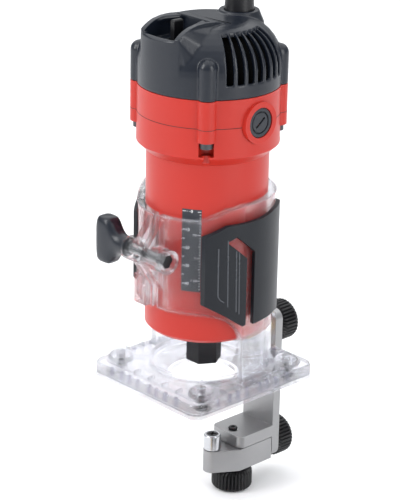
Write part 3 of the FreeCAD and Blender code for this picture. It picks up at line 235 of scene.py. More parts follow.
# %% Handling group: slow changes of tone and gloss over a piece
handling_group, handling_in, handling_out = new_group(
    "handling",
    [("Color", "NodeSocketColor", (0.5, 0.5, 0.5, 1)), ("Amount", "NodeSocketFloat", 0.1),
     ("Roughness", "NodeSocketFloat", 0.4), ("Scale", "NodeSocketFloat", 40.0)],
    [("Color", "NodeSocketColor"), ("Roughness", "NodeSocketFloat")],
)
where = node(handling_group, "ShaderNodeTexCoord")
cloud = node(handling_group, "ShaderNodeTexNoise", {
    "Vector": where.outputs["Object"], "Scale": handling_in.outputs["Scale"], "Detail": 6.0})
centred = node(handling_group, "ShaderNodeMath", {
    0: cloud.outputs["Fac"], 1: 0.5}, operation="SUBTRACT")
shift = node(handling_group, "ShaderNodeMath", {
    0: centred.outputs[0], 1: handling_in.outputs["Amount"]}, operation="MULTIPLY")
lift = node(handling_group, "ShaderNodeMath", {0: shift.outputs[0], 1: 1.0}, operation="ADD")
tone = node(handling_group, "ShaderNodeHueSaturation", {
    "Color": handling_in.outputs["Color"], "Value": lift.outputs[0]})
gloss = node(handling_group, "ShaderNodeMath", {
    0: shift.outputs[0], 1: handling_in.outputs["Roughness"]}, operation="ADD")
handling_group.links.new(tone.outputs["Color"], handling_out.inputs["Color"])
handling_group.links.new(gloss.outputs[0], handling_out.inputs["Roughness"])

# %% Edge group: a mask that is white along worn edges
edge_group, edge_in, edge_out = new_group(
    "worn_edges",
    [("Radius", "NodeSocketFloat", 0.0006), ("Breakup", "NodeSocketFloat", 300.0)],
    [("Mask", "NodeSocketFloat")],
)
flat = node(edge_group, "ShaderNodeNewGeometry")
soft = node(edge_group, "ShaderNodeBevel", {"Radius": edge_in.outputs["Radius"]}, samples=4)
likeness = node(edge_group, "ShaderNodeVectorMath", {
    0: flat.outputs["Normal"], 1: soft.outputs["Normal"]}, operation="DOT_PRODUCT")
sharpness = node(edge_group, "ShaderNodeMapRange", {
    "Value": likeness.outputs["Value"], "From Min": 0.985, "From Max": 0.85,
    "To Min": 0.0, "To Max": 1.0})
where = node(edge_group, "ShaderNodeTexCoord")
chips = node(edge_group, "ShaderNodeTexNoise", {
    "Vector": where.outputs["Object"], "Scale": edge_in.outputs["Breakup"], "Detail": 5.0})
uneven = node(edge_group, "ShaderNodeMapRange", {
    "Value": chips.outputs["Fac"], "From Min": 0.4, "From Max": 0.62})
mask = node(edge_group, "ShaderNodeMath", {
    0: sharpness.outputs["Result"], 1: uneven.outputs["Result"]}, operation="MULTIPLY")
edge_group.links.new(mask.outputs[0], edge_out.inputs["Mask"])
print("shader groups:", [group.name for group in bpy.data.node_groups])

# %% [markdown]
# The finishes differ in colour, gloss, grain and how light their edges wear. One function
# makes them all, and a short list names each finish as a maker would.

# %% One function for every opaque finish
def finish(name, color, roughness, metallic=0.0, grain=(900, 0.1, 0.0001), handling=0.12,
           wear=0.25, specular=0.5):
    """An opaque finish; grain is its scale, strength and depth in metres."""
    material = bpy.data.materials.new(name)
    material.use_nodes = True
    tree = material.node_tree
    shader = tree.nodes["Principled BSDF"]
    tones = node(tree, "ShaderNodeGroup", node_tree=handling_group)
    tones.inputs["Color"].default_value = (*color, 1)
    tones.inputs["Amount"].default_value = handling
    tones.inputs["Roughness"].default_value = roughness
    edges = node(tree, "ShaderNodeGroup", node_tree=edge_group)
    amount = node(tree, "ShaderNodeMath", {
        0: edges.outputs["Mask"], 1: wear}, operation="MULTIPLY")
    light = tuple(min(1.0, value * 1.6 + 0.06) for value in color)
    mixed = node(tree, "ShaderNodeMix", data_type="RGBA")
    tree.links.new(amount.outputs[0], mixed.inputs["Factor"])
    tree.links.new(tones.outputs["Color"], mixed.inputs["A"])
    mixed.inputs["B"].default_value = (*light, 1)
    tree.links.new(mixed.outputs["Result"], shader.inputs["Base Color"])
    tree.links.new(tones.outputs["Roughness"], shader.inputs["Roughness"])
    shader.inputs["Metallic"].default_value = metallic
    shader.inputs["Specular IOR Level"].default_value = specular
    texture = node(tree, "ShaderNodeGroup", node_tree=grain_group)
    texture.inputs["Scale"].default_value = grain[0]
    bump = node(tree, "ShaderNodeBump", {
        "Height": texture.outputs["Height"], "Strength": grain[1], "Distance": grain[2]})
    tree.links.new(bump.outputs["Normal"], shader.inputs["Normal"])
    return material


# %% The clear plastic of the base
def clear_plastic(name, color, face_on, edge_on, roughness, refraction, clarity=1.0):
    """Clear moulding: light goes almost straight through its faces and bends at its edges."""
    material = bpy.data.materials.new(name)
    material.use_nodes = True
    tree = material.node_tree
    shader = tree.nodes["Principled BSDF"]
    shader.inputs["Base Color"].default_value = (*color, 1)
    shader.inputs["Roughness"].default_value = roughness
    shader.inputs["IOR"].default_value = refraction
    shader.inputs["Transmission Weight"].default_value = clarity
    facing = node(tree, "ShaderNodeLayerWeight", {"Blend": 0.4})
    veil = node(tree, "ShaderNodeMapRange", {
        "Value": facing.outputs["Facing"], "From Min": 0.1, "From Max": 0.9,
        "To Min": face_on, "To Max": edge_on})
    tree.links.new(veil.outputs["Result"], shader.inputs["Alpha"])
    texture = node(tree, "ShaderNodeGroup", node_tree=grain_group)
    texture.inputs["Scale"].default_value = 90
    bump = node(tree, "ShaderNodeBump", {
        "Height": texture.outputs["Height"], "Strength": 0.05, "Distance": 0.0003})
    tree.links.new(bump.outputs["Normal"], shader.inputs["Normal"])
    return material


# %% The list of finishes
FINE = (1400, 0.12, 0.00008)
COARSE = (700, 0.35, 0.00012)
FINISHES = {
    "clear_poly": clear_plastic("clear_polycarbonate", (0.83, 0.84, 0.90), 0.26, 1.0, 0.02,
                                1.45, 0.96),
    "clear_cell": clear_plastic("clear_cell_walls", (0.36, 0.36, 0.55), 0.5, 1.0, 0.05,
                                1.3, 0.9),
    "protector": clear_plastic("protector_sheet", (0.80, 0.80, 0.90), 0.14, 0.85, 0.05, 1.3),
    "steel": finish("bright_steel", (0.62, 0.62, 0.63), 0.28, 1.0, FINE, 0.2),
    "dull_steel": finish("dull_steel", (0.07, 0.07, 0.075), 0.38, 0.8, FINE, 0.3, 0.4),
    "black_steel": finish("black_oxide_steel", (0.018, 0.018, 0.02), 0.34, 0.6, FINE, 0.3, 0.5),
    "rubber_dark": finish("grip_rubber", (0.006, 0.008, 0.012), 0.42, 0, COARSE,
                          0.15, 0.15, 0.3),
    # The grip rubber made lighter and glossier: a painted highlight along the raised lines, plus real
    # gloss.
    "ridge_rubber_highlight": finish("ridge_rubber_highlight", (0.045, 0.05, 0.06), 0.28, 0, COARSE),
    "slate_plastic": finish("slate_plastic", (0.006, 0.009, 0.016), 0.3, 0, COARSE,
                            0.12, 0.2, 0.42),
    "red_plastic": finish("red_plastic", (0.45, 0.020, 0.011), 0.36, 0, FINE, 0.1, 0.1, 0.36),
    "scale_dark": finish("scale_print", (0.028, 0.032, 0.040), 0.4, specular=0.35),
    "scale_white": finish("scale_marks_white", (0.85, 0.86, 0.87), 0.5),
    "grey_plastic": finish("grey_plastic", (0.022, 0.025, 0.032), 0.42, 0, FINE, specular=0.4),
    "black_plastic": finish("black_plastic", (0.004, 0.004, 0.005), 0.32, 0, COARSE,
                            0.15, 0.3, 0.4),
    "shadow_black": finish("deep_shadow", (0.001, 0.001, 0.001), 0.9, specular=0.05),
    "brass": finish("brass", (0.72, 0.50, 0.20), 0.3, 1.0, FINE),
    "copper": finish("enamelled_copper", (0.45, 0.14, 0.05), 0.35, 0.8, FINE),
    "carbon": finish("carbon", (0.03, 0.03, 0.03), 0.7),
    "laminations": finish("core_steel", (0.28, 0.28, 0.30), 0.45, 0.9, COARSE),
    "zinc": finish("bright_zinc", (0.55, 0.56, 0.58), 0.2, 1.0, FINE, 0.15),
    "guide_alloy": finish("satin_alloy", (0.34, 0.34, 0.345), 0.42, 0.9, COARSE, 0.14),
    # Painted shade for the narrow gap between the red housings.
    "seam_shade": finish("seam_shadow", (0.05, 0.004, 0.003), 0.7),
    "cord_rubber": finish("cord_rubber", (0.005, 0.005, 0.007), 0.4, 0, COARSE, specular=0.4),
}
DARKER = {"housing_screws": "dull_steel", "clamp_bolt": "black_steel",
          "base_screws": "dull_steel"}
slots = {part["node"]: part["material_slot"] for part in frame["record"]["subparts"]}
for name, cad_node in frame["nodes"].items():
    cad_node.data.materials.clear()
    cad_node.data.materials.append(FINISHES[DARKER.get(name, slots[name])])
cord_curve.materials.append(FINISHES["cord_rubber"])
print("finishes:", len(FINISHES))

# %% [markdown]
# Moulded and machined pieces have small rounds on every edge, which catch the light. The
# CAD keeps its edges sharp, so a copy of the mesh is welded, flat areas are joined again,
# and a bevel modifier rounds what is sharper than a given angle.

# %% Pieces that keep the CAD shape but get rounded edges
def add_piece(name, mesh, body, finish_name, replaces=(), look=None):
    """Link a mesh as a piece that rides on a body and may stand for CAD nodes."""
    piece = bpy.data.objects.new(name, mesh)
    scene.collection.objects.link(piece)
    mesh.materials.clear()
    mesh.materials.append(FINISHES[look or finish_name])
    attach(piece, body)
    if replaces:
        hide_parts(*replaces)
    return piece


BODY_OF = {
    name: body
    for body, names in frame["record"]["behaviour"]["bodies"].items() for name in names
}


def smooth_by_angle(mesh, degrees=32):
    """Smooth shading that stays crisp along edges sharper than an angle."""
    work = bmesh.new()
    work.from_mesh(mesh)
    for face in work.faces:
        face.smooth = True
    for edge in work.edges:
        paired = len(edge.link_faces) == 2
        edge.smooth = paired and edge.calc_face_angle() < math.radians(degrees)
    work.to_mesh(mesh)
    work.free()


def softened(name, width, segments=2, degrees=32):
    """A copy of a CAD node with its sharp edges rounded by a width in millimetres."""
    source = frame["nodes"][name]
    mesh = source.data.copy()
    mesh.name = name + "_soft"
    if "custom_normal" in mesh.attributes:
        mesh.attributes.remove(mesh.attributes["custom_normal"])
    work = bmesh.new()
    work.from_mesh(mesh)
    bmesh.ops.remove_doubles(work, verts=work.verts, dist=0.00001)
    bmesh.ops.dissolve_limit(work, angle_limit=math.radians(1.5), verts=work.verts,
                             edges=work.edges)
    work.to_mesh(mesh)
    work.free()
    smooth_by_angle(mesh, degrees)
    piece = add_piece(name + "_soft", mesh, BODY_OF[name], slots[name], [name],
                      DARKER.get(name))
    bevel = piece.modifiers.new("rounded_edges", "BEVEL")
    bevel.width = width * MM
    bevel.segments = segments
    bevel.limit_method = "ANGLE"
    bevel.angle_limit = math.radians(degrees)
    bevel.harden_normals = True
    return piece


SOFTENED = {
    "clear_plate": 0.6, "clear_sleeve": 0.6, "motor_housing_lower": 0.5,
    "motor_housing_upper": 0.4, "grip_left": 0.8, "grip_right": 0.8, "guide_holder": 0.5,
    "guide_slide": 0.5, "collet_nut": 0.4, "guide_roller": 0.3, "switch_lever": 0.3,
    "clamp_bolt": 0.3, "base_protector": 0.3, "plug_body": 1.0, "guide_washer": 0.2,
}
for name, width in SOFTENED.items():
    softened(name, width)
print("rounded pieces:", len(SOFTENED))

# %% [markdown]
# The top cover is one moulding whose walls, bosses and switch turret flow into each other.
# Beads round its rims and sloping flanks are melted into the CAD shape: the whole is
# remeshed in fine voxels, smoothed, and thinned again.

# %% Melt a CAD node and extra beads into one moulding
def beads(path, spacing=0.8):
    """Small spheres along a path of (x, y, z, radius) stops in mm, as one mesh."""
    work = bmesh.new()
    for start, end in zip(path, path[1:]):
        start, end = Vector(start), Vector(end)
        count = max(1, math.ceil((end - start).to_3d().length / spacing))
        for i in range(count + 1):
            x, y, z, radius = start.lerp(end, i / count)
            bmesh.ops.create_icosphere(work, subdivisions=2, radius=radius * MM,
                                       matrix=Matrix.Translation(mm(x, y, z)))
    return as_mesh(work, "beads")


def hulls(stations):
    """Convex solids round the spheres of each station and the next, as one mesh."""
    work = bmesh.new()
    for near, far in zip(stations, stations[1:]):
        part = bmesh.new()
        for x, y, z, radius in (*near, *far):
            bmesh.ops.create_icosphere(part, subdivisions=2, radius=radius * MM,
                                       matrix=Matrix.Translation(mm(x, y, z)))
        bmesh.ops.delete(part, geom=part.edges[:] + part.faces[:], context="EDGES_FACES")
        shell = bmesh.ops.convex_hull(part, input=part.verts)
        loose = [thing for thing in shell["geom_interior"]
                 if isinstance(thing, bmesh.types.BMVert)]
        bmesh.ops.delete(part, geom=loose, context="VERTS")
        work.from_mesh(as_mesh(part, "hull"))
    return as_mesh(work, "hulls")


def moulded(name, extras, voxel=0.36, passes=18, kept=0.4):
    """A CAD node and extra meshes as one soft moulding that stands for the node."""
    work = bmesh.new()
    for mesh in [frame["nodes"][name].data, *extras]:
        work.from_mesh(mesh)
    bmesh.ops.remove_doubles(work, verts=work.verts, dist=1e-6)
    holder = bpy.data.objects.new("melting", as_mesh(work, "melting"))
    scene.collection.objects.link(holder)
    melt = holder.modifiers.new("melt", "REMESH")
    melt.mode = "VOXEL"
    melt.voxel_size = voxel * MM
    calm = holder.modifiers.new("calm", "SMOOTH")
    calm.factor = 0.5
    calm.iterations = passes
    thin = holder.modifiers.new("thin", "DECIMATE")
    thin.ratio = kept
    result = baked(holder)
    bpy.data.objects.remove(holder)
    smooth_by_angle(result, 60)
    return add_piece(name + "_moulded", result, BODY_OF[name], slots[name], [name])


LIP_REACH = 36.4
front_lip = []
for degrees in range(-112, -67, 4):
    angle = math.radians(degrees)
    front_lip.append((LIP_REACH * math.cos(angle), LIP_REACH * math.sin(angle), 194.6, 1.6))
right_rim = [(13.5, -33.6, 194.8, 1.7), (13.6, -31.5, 197.6, 1.7), (13.2, -28, 199.8, 1.7),
             (11.8, -21, 201.2, 1.6), (9.0, -14, 201.3, 1.6)]
flank_foot = [(15.0, -30.8, 184.0, 2.8), (16.9, -28.3, 187.6, 2.8), (17.4, -24.5, 192.4, 2.6),
              (16.4, -18.5, 196.4, 2.4), (14.0, -13.0, 198.6, 1.9)]
rims = [beads(front_lip), beads(right_rim), hulls(list(zip(right_rim, flank_foot)))]
left_rim = [(-x, y, z, radius) for x, y, z, radius in right_rim]
left_foot = [(-x, y, z, radius) for x, y, z, radius in flank_foot]
rims += [beads(left_rim), hulls(list(zip(left_rim, left_foot)))]
cover = moulded("top_cover", rims)
RIM_CURVE = [(-37.8, 194.6), (-36, 196), (-34, 197.8), (-32, 199.2), (-30, 200.3), (-27, 201.5),
             (-22, 202.6), (-12, 203)]


def rim_level(y):
    """The height of the turret's rims at a distance in front of the spindle, in mm."""
    for (y0, z0), (y1, z1) in zip(RIM_CURVE, RIM_CURVE[1:]):
        if y <= y1:
            return z0 + (z1 - z0) * max(0.0, y - y0) / (y1 - y0)
    return RIM_CURVE[-1][1]


TURRET_HALF_WIDTH = 18
TURRET_BACK = -12.5
OVERSHOOT_KEPT = 0.2
for vertex in cover.data.vertices:
    x, y, z = vertex.co / MM
    level = rim_level(y)
    if abs(x) < TURRET_HALF_WIDTH and y < TURRET_BACK and z > level:
        vertex.co.z = (level + OVERSHOOT_KEPT * (z - level)) * MM
# A thin near black block on the dome is painted shade of a shallow groove line in the cover.
GROOVE_SHADE_SIZE = Vector((18, 0.4, 0.2))
groove_shade_place = Matrix.Translation(mm(7, -1.8, 200.62)) @ Matrix.Rotation(math.radians(6), 4, "Z")
work = bmesh.new()
bmesh.ops.create_cube(work, size=1, matrix=groove_shade_place @ Matrix.Diagonal((*GROOVE_SHADE_SIZE * MM, 1)))
add_piece("cover_groove_shade", as_mesh(work, "cover_groove_shade"), "motor", "slate_plastic", look="shadow_black")
print("cover faces:", len(cover.data.polygons))

# %% [markdown]
# Round pieces are turned: a profile of radius and height goes round an axis, as on a
# lathe. The same function can let the radius swing in and out round the turn, which cuts
# the flutes of a knob.

# %% A lathe for round pieces
ALONG = {
    "Z": Matrix.Identity(4),
    "-Z": Matrix.Rotation(math.pi, 4, "X"),
    "X": Matrix.Rotation(math.pi / 2, 4, "Y"),
    "-X": Matrix.Rotation(-math.pi / 2, 4, "Y"),
    "Y": Matrix.Rotation(-math.pi / 2, 4, "X"),
    "-Y": Matrix.Rotation(math.pi / 2, 4, "X"),
}


def skinned(work, name, rings, closed):
    """Join rings of vertices with quads: round and closed, or open with both ends shut."""
    count = len(rings[0])
    following_rings = rings[1:] + rings[:1] if closed else rings[1:]
    for ring, following in zip(rings, following_rings):
        for i in range(count):
            j = (i + 1) % count
            work.faces.new((ring[i], following[i], following[j], ring[j]))
    if closed:
        bmesh.ops.remove_doubles(work, verts=work.verts, dist=1e-7)
    else:
        work.faces.new(rings[0])
        work.faces.new(reversed(rings[-1]))
    bmesh.ops.recalc_face_normals(work, faces=work.faces)
    return as_mesh(work, name)


def turned(name, profile, at, along="Z", steps=96, swing=None, degrees=32):
    """A closed profile of (radius, height) turned about an axis through a point, in mm."""
    work = bmesh.new()
    rings = []
    for step in range(steps):
        angle = 2 * math.pi * step / steps
        ring = []
        for radius, height in profile:
            reach = radius + (swing(angle, radius, height) if swing else 0)
            ring.append(work.verts.new(
                (reach * math.cos(angle) * MM, reach * math.sin(angle) * MM, height * MM)))
        rings.append(ring)
    mesh = skinned(work, name, rings, closed=True)
    mesh.transform(Matrix.Translation(mm(*at)) @ ALONG[along])
    smooth_by_angle(mesh, degrees)
    return mesh


# %% [markdown]
# Behind the cooling slots a near black sheet of painted shade hides the windings, so the
# slots read as dark openings. It follows the inside of the cover at a small distance, on
# both sides. A thin dark band of painted shade marks the gap where the red housings meet,
# and it follows the four screw bosses round.

# %% Painted shade behind the vents and in the housing seam
def arc_shell(profile, first, last, steps=24):
    """A closed (radius, height) profile swept through part of a turn, with both ends shut."""
    work = bmesh.new()
    rings = []
    for step in range(steps + 1):
        angle = math.radians(first + (last - first) * step / steps)
        rings.append([work.verts.new(mm(r * math.cos(angle), r * math.sin(angle), h))
                      for r, h in profile])
    mesh = skinned(work, "arc_shell", rings, closed=False)
    smooth_by_angle(mesh)
    return mesh


SHADE_SHEET_PROFILE = [(32.2, 169.5), (32.2, 178), (30.2, 185), (26, 191.3), (20, 195.6), (19.6, 194.8),
          (25.4, 190.6), (29.4, 184.7), (31.4, 177.8), (31.4, 169.5)]
# Each sheet gets the deep shadow finish: painted shade where the inside of the motor lies dark.
for side, middle_angle in (("right", 1), ("left", 181)):
    shade_sheet = arc_shell(SHADE_SHEET_PROFILE, middle_angle - 33, middle_angle + 33)
    add_piece(f"vent_shade_sheet_{side}", shade_sheet, "motor", "black_plastic", look="shadow_black")

BOSS_CIRCLE = 36
BOSS_RADIUS = 5
RING_RADIUS = 37.8


def round_bosses(angle, radius, height):
    """How much further out the four screw bosses reach than the plain ring."""
    off = angle % (math.pi / 2) - math.pi / 4
    across = BOSS_CIRCLE * math.sin(off)
    if abs(across) >= BOSS_RADIUS:
        return 0
    reach = BOSS_CIRCLE * math.cos(off) + math.sqrt(BOSS_RADIUS ** 2 - across ** 2)
    return max(0, reach - RING_RADIUS)


# A thin dark band of painted shade: the shadow in the narrow gap where the two red housings meet.
SEAM_SHADE_PROFILE = [(37.3, 151.8), (37.84, 151.8), (37.84, 152.15), (37.3, 152.15)]
add_piece("housing_seam_shade", turned("housing_seam_shade", SEAM_SHADE_PROFILE, (0, 0, 0), "Z", 480, round_bosses),
          "motor", "seam_shade")
print("baffles and seam added")

# %% [markdown]
# The guide's three screws have fluted black knobs. Each stands for its CAD knob: the same
# outside size, but with rounded ridges, a chamfer at both ends, a dished face and a collar.

# %% Fluted knobs
RIDGES = 34
FLUTE_DEPTH = 0.95
KNOB_PROFILE = [
    (3.02, 0), (7.3, 0), (7.5, 0.2), (7.5, 1.3), (9.6, 1.5), (10.6, 2.1), (11.4, 3.1),
    (11.5, 3.6), (11.5, 7), (11.5, 11), (11.3, 11.8), (10.5, 12.7), (9.8, 13), (9.0, 12.95), (8.4, 12.3),
    (4.6, 12.1), (4.2, 12.6), (3.4, 12.6), (3.1, 12.2), (0, 12.1), (0, 9.0), (3.02, 9.0),
]


def flutes(angle, radius, height):
    """Cut rounded valleys into the flank; the ends and the collar stay round."""
    if radius < 10.4 or height < 1.6:
        return 0
    valley = 0.5 - 0.5 * math.cos(angle * RIDGES)
    return -FLUTE_DEPTH * valley ** 1.6


KNOB_AXES = {"guide_clamp_knob": "Y", "adjusting_knob": "Y", "slide_clamp_knob": "-Z"}
for name, along in KNOB_AXES.items():
    low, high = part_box(name)
    middle_point = (low + high) / 2 / MM
    if along == "Y":
        at = (middle_point.x, low.y / MM, middle_point.z)
    else:
        at = (middle_point.x, middle_point.y, high.z / MM)
    mesh = turned(name + "_fluted", KNOB_PROFILE, at, along, RIDGES * 8, flutes)
    add_piece(name + "_fluted", mesh, BODY_OF[name], "black_plastic", [name])
print("knobs with", RIDGES, "ridges each")

# %% [markdown]
# The clear plate is stiffened from above: a raised ring round the opening, a boss over each
# corner screw, and ribs between them. On the sleeve, rounded lips follow every outer edge,
# found as the sharp edges of the CAD mesh that lie on its outer cylinder.

# %% Ring, bosses and ribs on the clear plate
def block(width, depth, height, matrix):
    """A box centred on the origin and then moved by a matrix, all in mm."""
    work = bmesh.new()
    bmesh.ops.create_cube(work, size=1)
    mesh = as_mesh(work, "block")
    mesh.transform(Matrix.Diagonal((width * MM, depth * MM, height * MM, 1)))
    mesh.transform(matrix)
    return mesh


PLATE_TOP = 8.2
RING = [(27.4, 8), (27.4, 10.4), (27.9, 11.1), (28.7, 11.4), (29.5, 11.1), (30, 10.4), (30, 8)]
CORNER = [(2.3, 8), (2.3, 12.4), (2.8, 12.9), (4.6, 12.6), (6.2, 11.4), (6.9, 9.8), (7, 8)]
RIB_TOP = 10.4
CORNER_SPREAD = 32
add_piece("plate_ring", turned("plate_ring", RING, (0, 0, 0)), "base", "clear_poly")
for number in range(4):
    angle = math.pi / 4 + number * math.pi / 2
    x = math.copysign(CORNER_SPREAD, math.cos(angle))
    y = math.copysign(CORNER_SPREAD, math.sin(angle))
    add_piece(f"corner_boss_{number}", turned("corner_boss", CORNER, (x, y, 0), steps=48),
              "base", "clear_poly")
RIB_SUNK = 0.2
rib_height = RIB_TOP - PLATE_TOP + RIB_SUNK
rib_middle = RIB_TOP - rib_height / 2
ribs = []
for number in range(4):
    turn_about = Matrix.Rotation(number * math.pi / 2, 4, "Z")
    diagonal = Matrix.Rotation(math.pi / 4, 4, "Z") @ turn_about
    ribs.append(block(9, 1.4, rib_height,
                      diagonal @ Matrix.Translation(mm(34.4, 0, rib_middle))))
    for offset in (-22, -11, 0, 11, 22):
        if number == 1 and abs(offset) < 20:
            continue
        ribs.append(block(4.6, 1.3, rib_height,
                          turn_about @ Matrix.Translation(mm(38.6, offset, rib_middle))))
rib_piece = add_piece("plate_ribs", merged("plate_ribs", ribs), "base", "clear_poly")
rounding = rib_piece.modifiers.new("rounded_edges", "BEVEL")
rounding.width = 0.4 * MM
rounding.segments = 2
print("ribs on the plate:", len(ribs))

# %% Walls of the cells in the plate's lower rim
CELL_HEIGHT = 4.2
CELL_LEVEL = 4.9
cells = []
for number in range(4):
    turn_about = Matrix.Rotation(number * math.pi / 2, 4, "Z")
    edge = 42.6 if number % 2 else 39.6
    for offset in (-27, -18.5, -12.5, -6, 3.5, 9, 16, 24.5):
        length = 1.2 + (abs(offset) * 7 % 3)
        cells.append(block(1.2, length, CELL_HEIGHT, turn_about @ Matrix.Translation(
            mm(edge, offset, CELL_LEVEL))))
add_piece("cell_walls", merged("cell_walls", cells), "base", "clear_poly", look="clear_cell")
print("cell walls:", len(cells))

# %% Lips along the outer edges of the sleeve
SLEEVE_RADIUS = 36.5


def outer_edges(name, radius, low, high):
    """Chains of points along the sharp convex edges of a node that lie on a cylinder."""
    work = bmesh.new()
    work.from_mesh(frame["nodes"][name].data)
    bmesh.ops.remove_doubles(work, verts=work.verts, dist=0.00001)
    bmesh.ops.dissolve_limit(work, angle_limit=math.radians(1.5), verts=work.verts,
                             edges=work.edges)
    work.edges.index_update()

    def on_rim(vertex):
        x, y, z = vertex.co / MM
        return abs(math.hypot(x, y) - radius) < 0.12 and low < z < high

    sharp = {
        edge.index: edge for edge in work.edges
        if len(edge.link_faces) == 2 and edge.calc_face_angle() > math.radians(50)
        and on_rim(edge.verts[0]) and on_rim(edge.verts[1])
    }
    chains = []
    while sharp:
        first = sharp.pop(min(sharp))
        chain = list(first.verts)
        for forwards in (True, False):
            while True:
                tip = chain[-1] if forwards else chain[0]
                step = next((edge for edge in tip.link_edges if edge.index in sharp), None)
                if step is None:
                    break
                del sharp[step.index]
                far = step.other_vert(tip)
                chain.insert(len(chain) if forwards else 0, far)
        if len(chain) > 2:
            chains.append([vertex.co.copy() for vertex in chain])
    work.free()
    return chains


def tubes(name, chains, radius, body, slot_name, look=None):
    """Thin round tubes along chains of points in metres, as one piece."""
    curve = bpy.data.curves.new(name, "CURVE")
    curve.dimensions = "3D"
    curve.bevel_depth = radius
    curve.bevel_resolution = 3
    curve.use_fill_caps = True
    for chain in chains:
        line = curve.splines.new("POLY")
        line.points.add(len(chain) - 1)
        for point, spot in zip(line.points, chain):
            point.co = (*spot, 1)
            point.radius = MM
    curve.materials.append(FINISHES[look or slot_name])
    piece = bpy.data.objects.new(name, curve)
    scene.collection.objects.link(piece)
    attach(piece, body)


lips = outer_edges("clear_sleeve", SLEEVE_RADIUS, 9, 110)
tubes("sleeve_lips", lips, 0.55, "base", "clear_poly")


PLATE_HALF_X, PLATE_HALF_Y = 42, 45


def plate_loop(inset, corner, level):
    """A closed rounded rectangle round the plate, a distance inside its outline, in metres."""
    loop = []
    half_x, half_y = PLATE_HALF_X - inset - corner, PLATE_HALF_Y - inset - corner
    for quarter in range(4):
        sign_x = 1 if quarter in (0, 3) else -1
        sign_y = 1 if quarter < 2 else -1
        for step in range(9):
            angle = math.pi / 2 * (quarter + step / 8)
            loop.append(mm(sign_x * half_x + corner * math.cos(angle),
                           sign_y * half_y + corner * math.sin(angle), level))
    return loop + loop[:1]


tubes("plate_lips", [plate_loop(0.9, 6.3, 7.5), plate_loop(0.7, 6.5, 2.5)], 0.55, "base",
      "clear_poly")
tubes("plate_ridge", [plate_loop(5.2, 4.5, 8.3)], 0.8, "base", "clear_poly")
SLOT_ANGLE = -119
SLOT_LEVEL = 62
SLOT_STRAIGHT = 8
SLOT_RADIUS = 3.4
hoop = []
for step in range(33):
    angle = 2 * math.pi * step / 32
    rise = math.sin(angle)
    around = math.radians(SLOT_ANGLE) + SLOT_RADIUS * math.cos(angle) / SLEEVE_RADIUS
    straight = math.copysign(SLOT_STRAIGHT, rise) if abs(rise) > 1e-6 else 0
    level = SLOT_LEVEL + straight + SLOT_RADIUS * rise
    hoop.append(mm(SLEEVE_RADIUS * math.cos(around), SLEEVE_RADIUS * math.sin(around), level))
tubes("sleeve_slot_rim", [hoop], 0.7, "base", "clear_poly")
print("lips along the sleeve:", len(lips))

# %% [markdown]
# The wing knob of the clamp starts as a round neck and flares into a flat bar. It is lofted
# through sections whose corners get squarer towards the bar.

# %% Wing knob
WING_SECTIONS = [
    (-14.0, 4.9, 4.9, 2), (-14.3, 5.2, 5.2, 2), (-17, 5.2, 5.2, 2), (-19.5, 5.6, 5.2, 2.1),
    (-21.5, 6.6, 5.2, 2.3), (-23.3, 8.3, 5.2, 2.6), (-24.8, 10.4, 5.25, 3),
    (-26.2, 12.1, 5.3, 3.6),
    (-27.6, 12.9, 5.4, 4.2), (-29.5, 13, 5.5, 4.6), (-33, 13, 5.5, 4.8), (-34.8, 12.7, 5.2, 4.6),
    (-35.7, 12.0, 4.6, 4.2), (-36, 11.2, 3.8, 4),
]
WING_STEPS = 56
WING_Y, WING_Z = -42, 81
work = bmesh.new()
rings = []
for x, tall, deep, square in WING_SECTIONS:
    ring = []
    for step in range(WING_STEPS):
        angle = 2 * math.pi * step / WING_STEPS
        c, s = math.cos(angle), math.sin(angle)
        y = math.copysign(abs(c) ** (2 / square), c) * deep
        z = math.copysign(abs(s) ** (2 / square), s) * tall
        ring.append(work.verts.new(mm(x, y + WING_Y, z + WING_Z)))
    rings.append(ring)
wing_mesh = skinned(work, "wing_knob_lofted", rings, closed=False)
smooth_by_angle(wing_mesh, 40)
add_piece("wing_knob_lofted", wing_mesh, "wing_knob", slots["clamp_knob"], ["clamp_knob"])
print("wing knob sections:", len(WING_SECTIONS))

# %% [markdown]
# The depth scale is printed: thin white marks and figures on the dark strip. They are real
# shapes a twentieth of a millimetre thick, wrapped round the barrel, so they stay sharp from
# near by. The left side counts millimetres, the right side sixteenths of an inch.

# %% Wrap a flat drawing round the barrel
SCALE_RADIUS = 32.5
SCALE_LEFT = -66.5
SCALE_RIGHT = -48.0
SCALE_ZERO = 105.8
ZERO_ANGLE = -57.2
INCH = 25.4
PRINT_THICKNESS = 0.04


def wrapped(mesh, centre_angle, centre_height):
    """Bend a flat mesh, drawn in the XY plane in mm, onto the barrel at an angle and height."""
    for vertex in mesh.vertices:
        across, rise, lift = vertex.co
        angle = math.radians(centre_angle) + across / SCALE_RADIUS
        radius = SCALE_RADIUS + lift
        vertex.co = mm(radius * math.cos(angle), radius * math.sin(angle), centre_height + rise)


def mark(work, start, end, height, thickness):
    """One printed line between two angles at a height."""
    steps = 3
    corners = []
    for lift in (0, PRINT_THICKNESS):
        for edge in (-0.5, 0.5):
            for step in range(steps + 1):
                angle = math.radians(start + (end - start) * step / steps)
                reach = SCALE_RADIUS + lift
                corners.append(work.verts.new(mm(
                    reach * math.cos(angle), reach * math.sin(angle),
                    height + edge * thickness)))
    row = steps + 1
    for step in range(steps):
        a, b = step, step + 1
        work.faces.new([corners[k] for k in (2 * row + a, 2 * row + b, 3 * row + b, 3 * row + a)])
        work.faces.new([corners[k] for k in (a, row + a, row + b, b)])
        work.faces.new([corners[k] for k in (a, b, 2 * row + b, 2 * row + a)])
        work.faces.new([corners[k] for k in (row + a, 3 * row + a, 3 * row + b, row + b)])
    work.faces.new([corners[k] for k in (0, 2 * row, 3 * row, row)])
    work.faces.new([corners[k] for k in (steps, row + steps, 3 * row + steps, 2 * row + steps)])


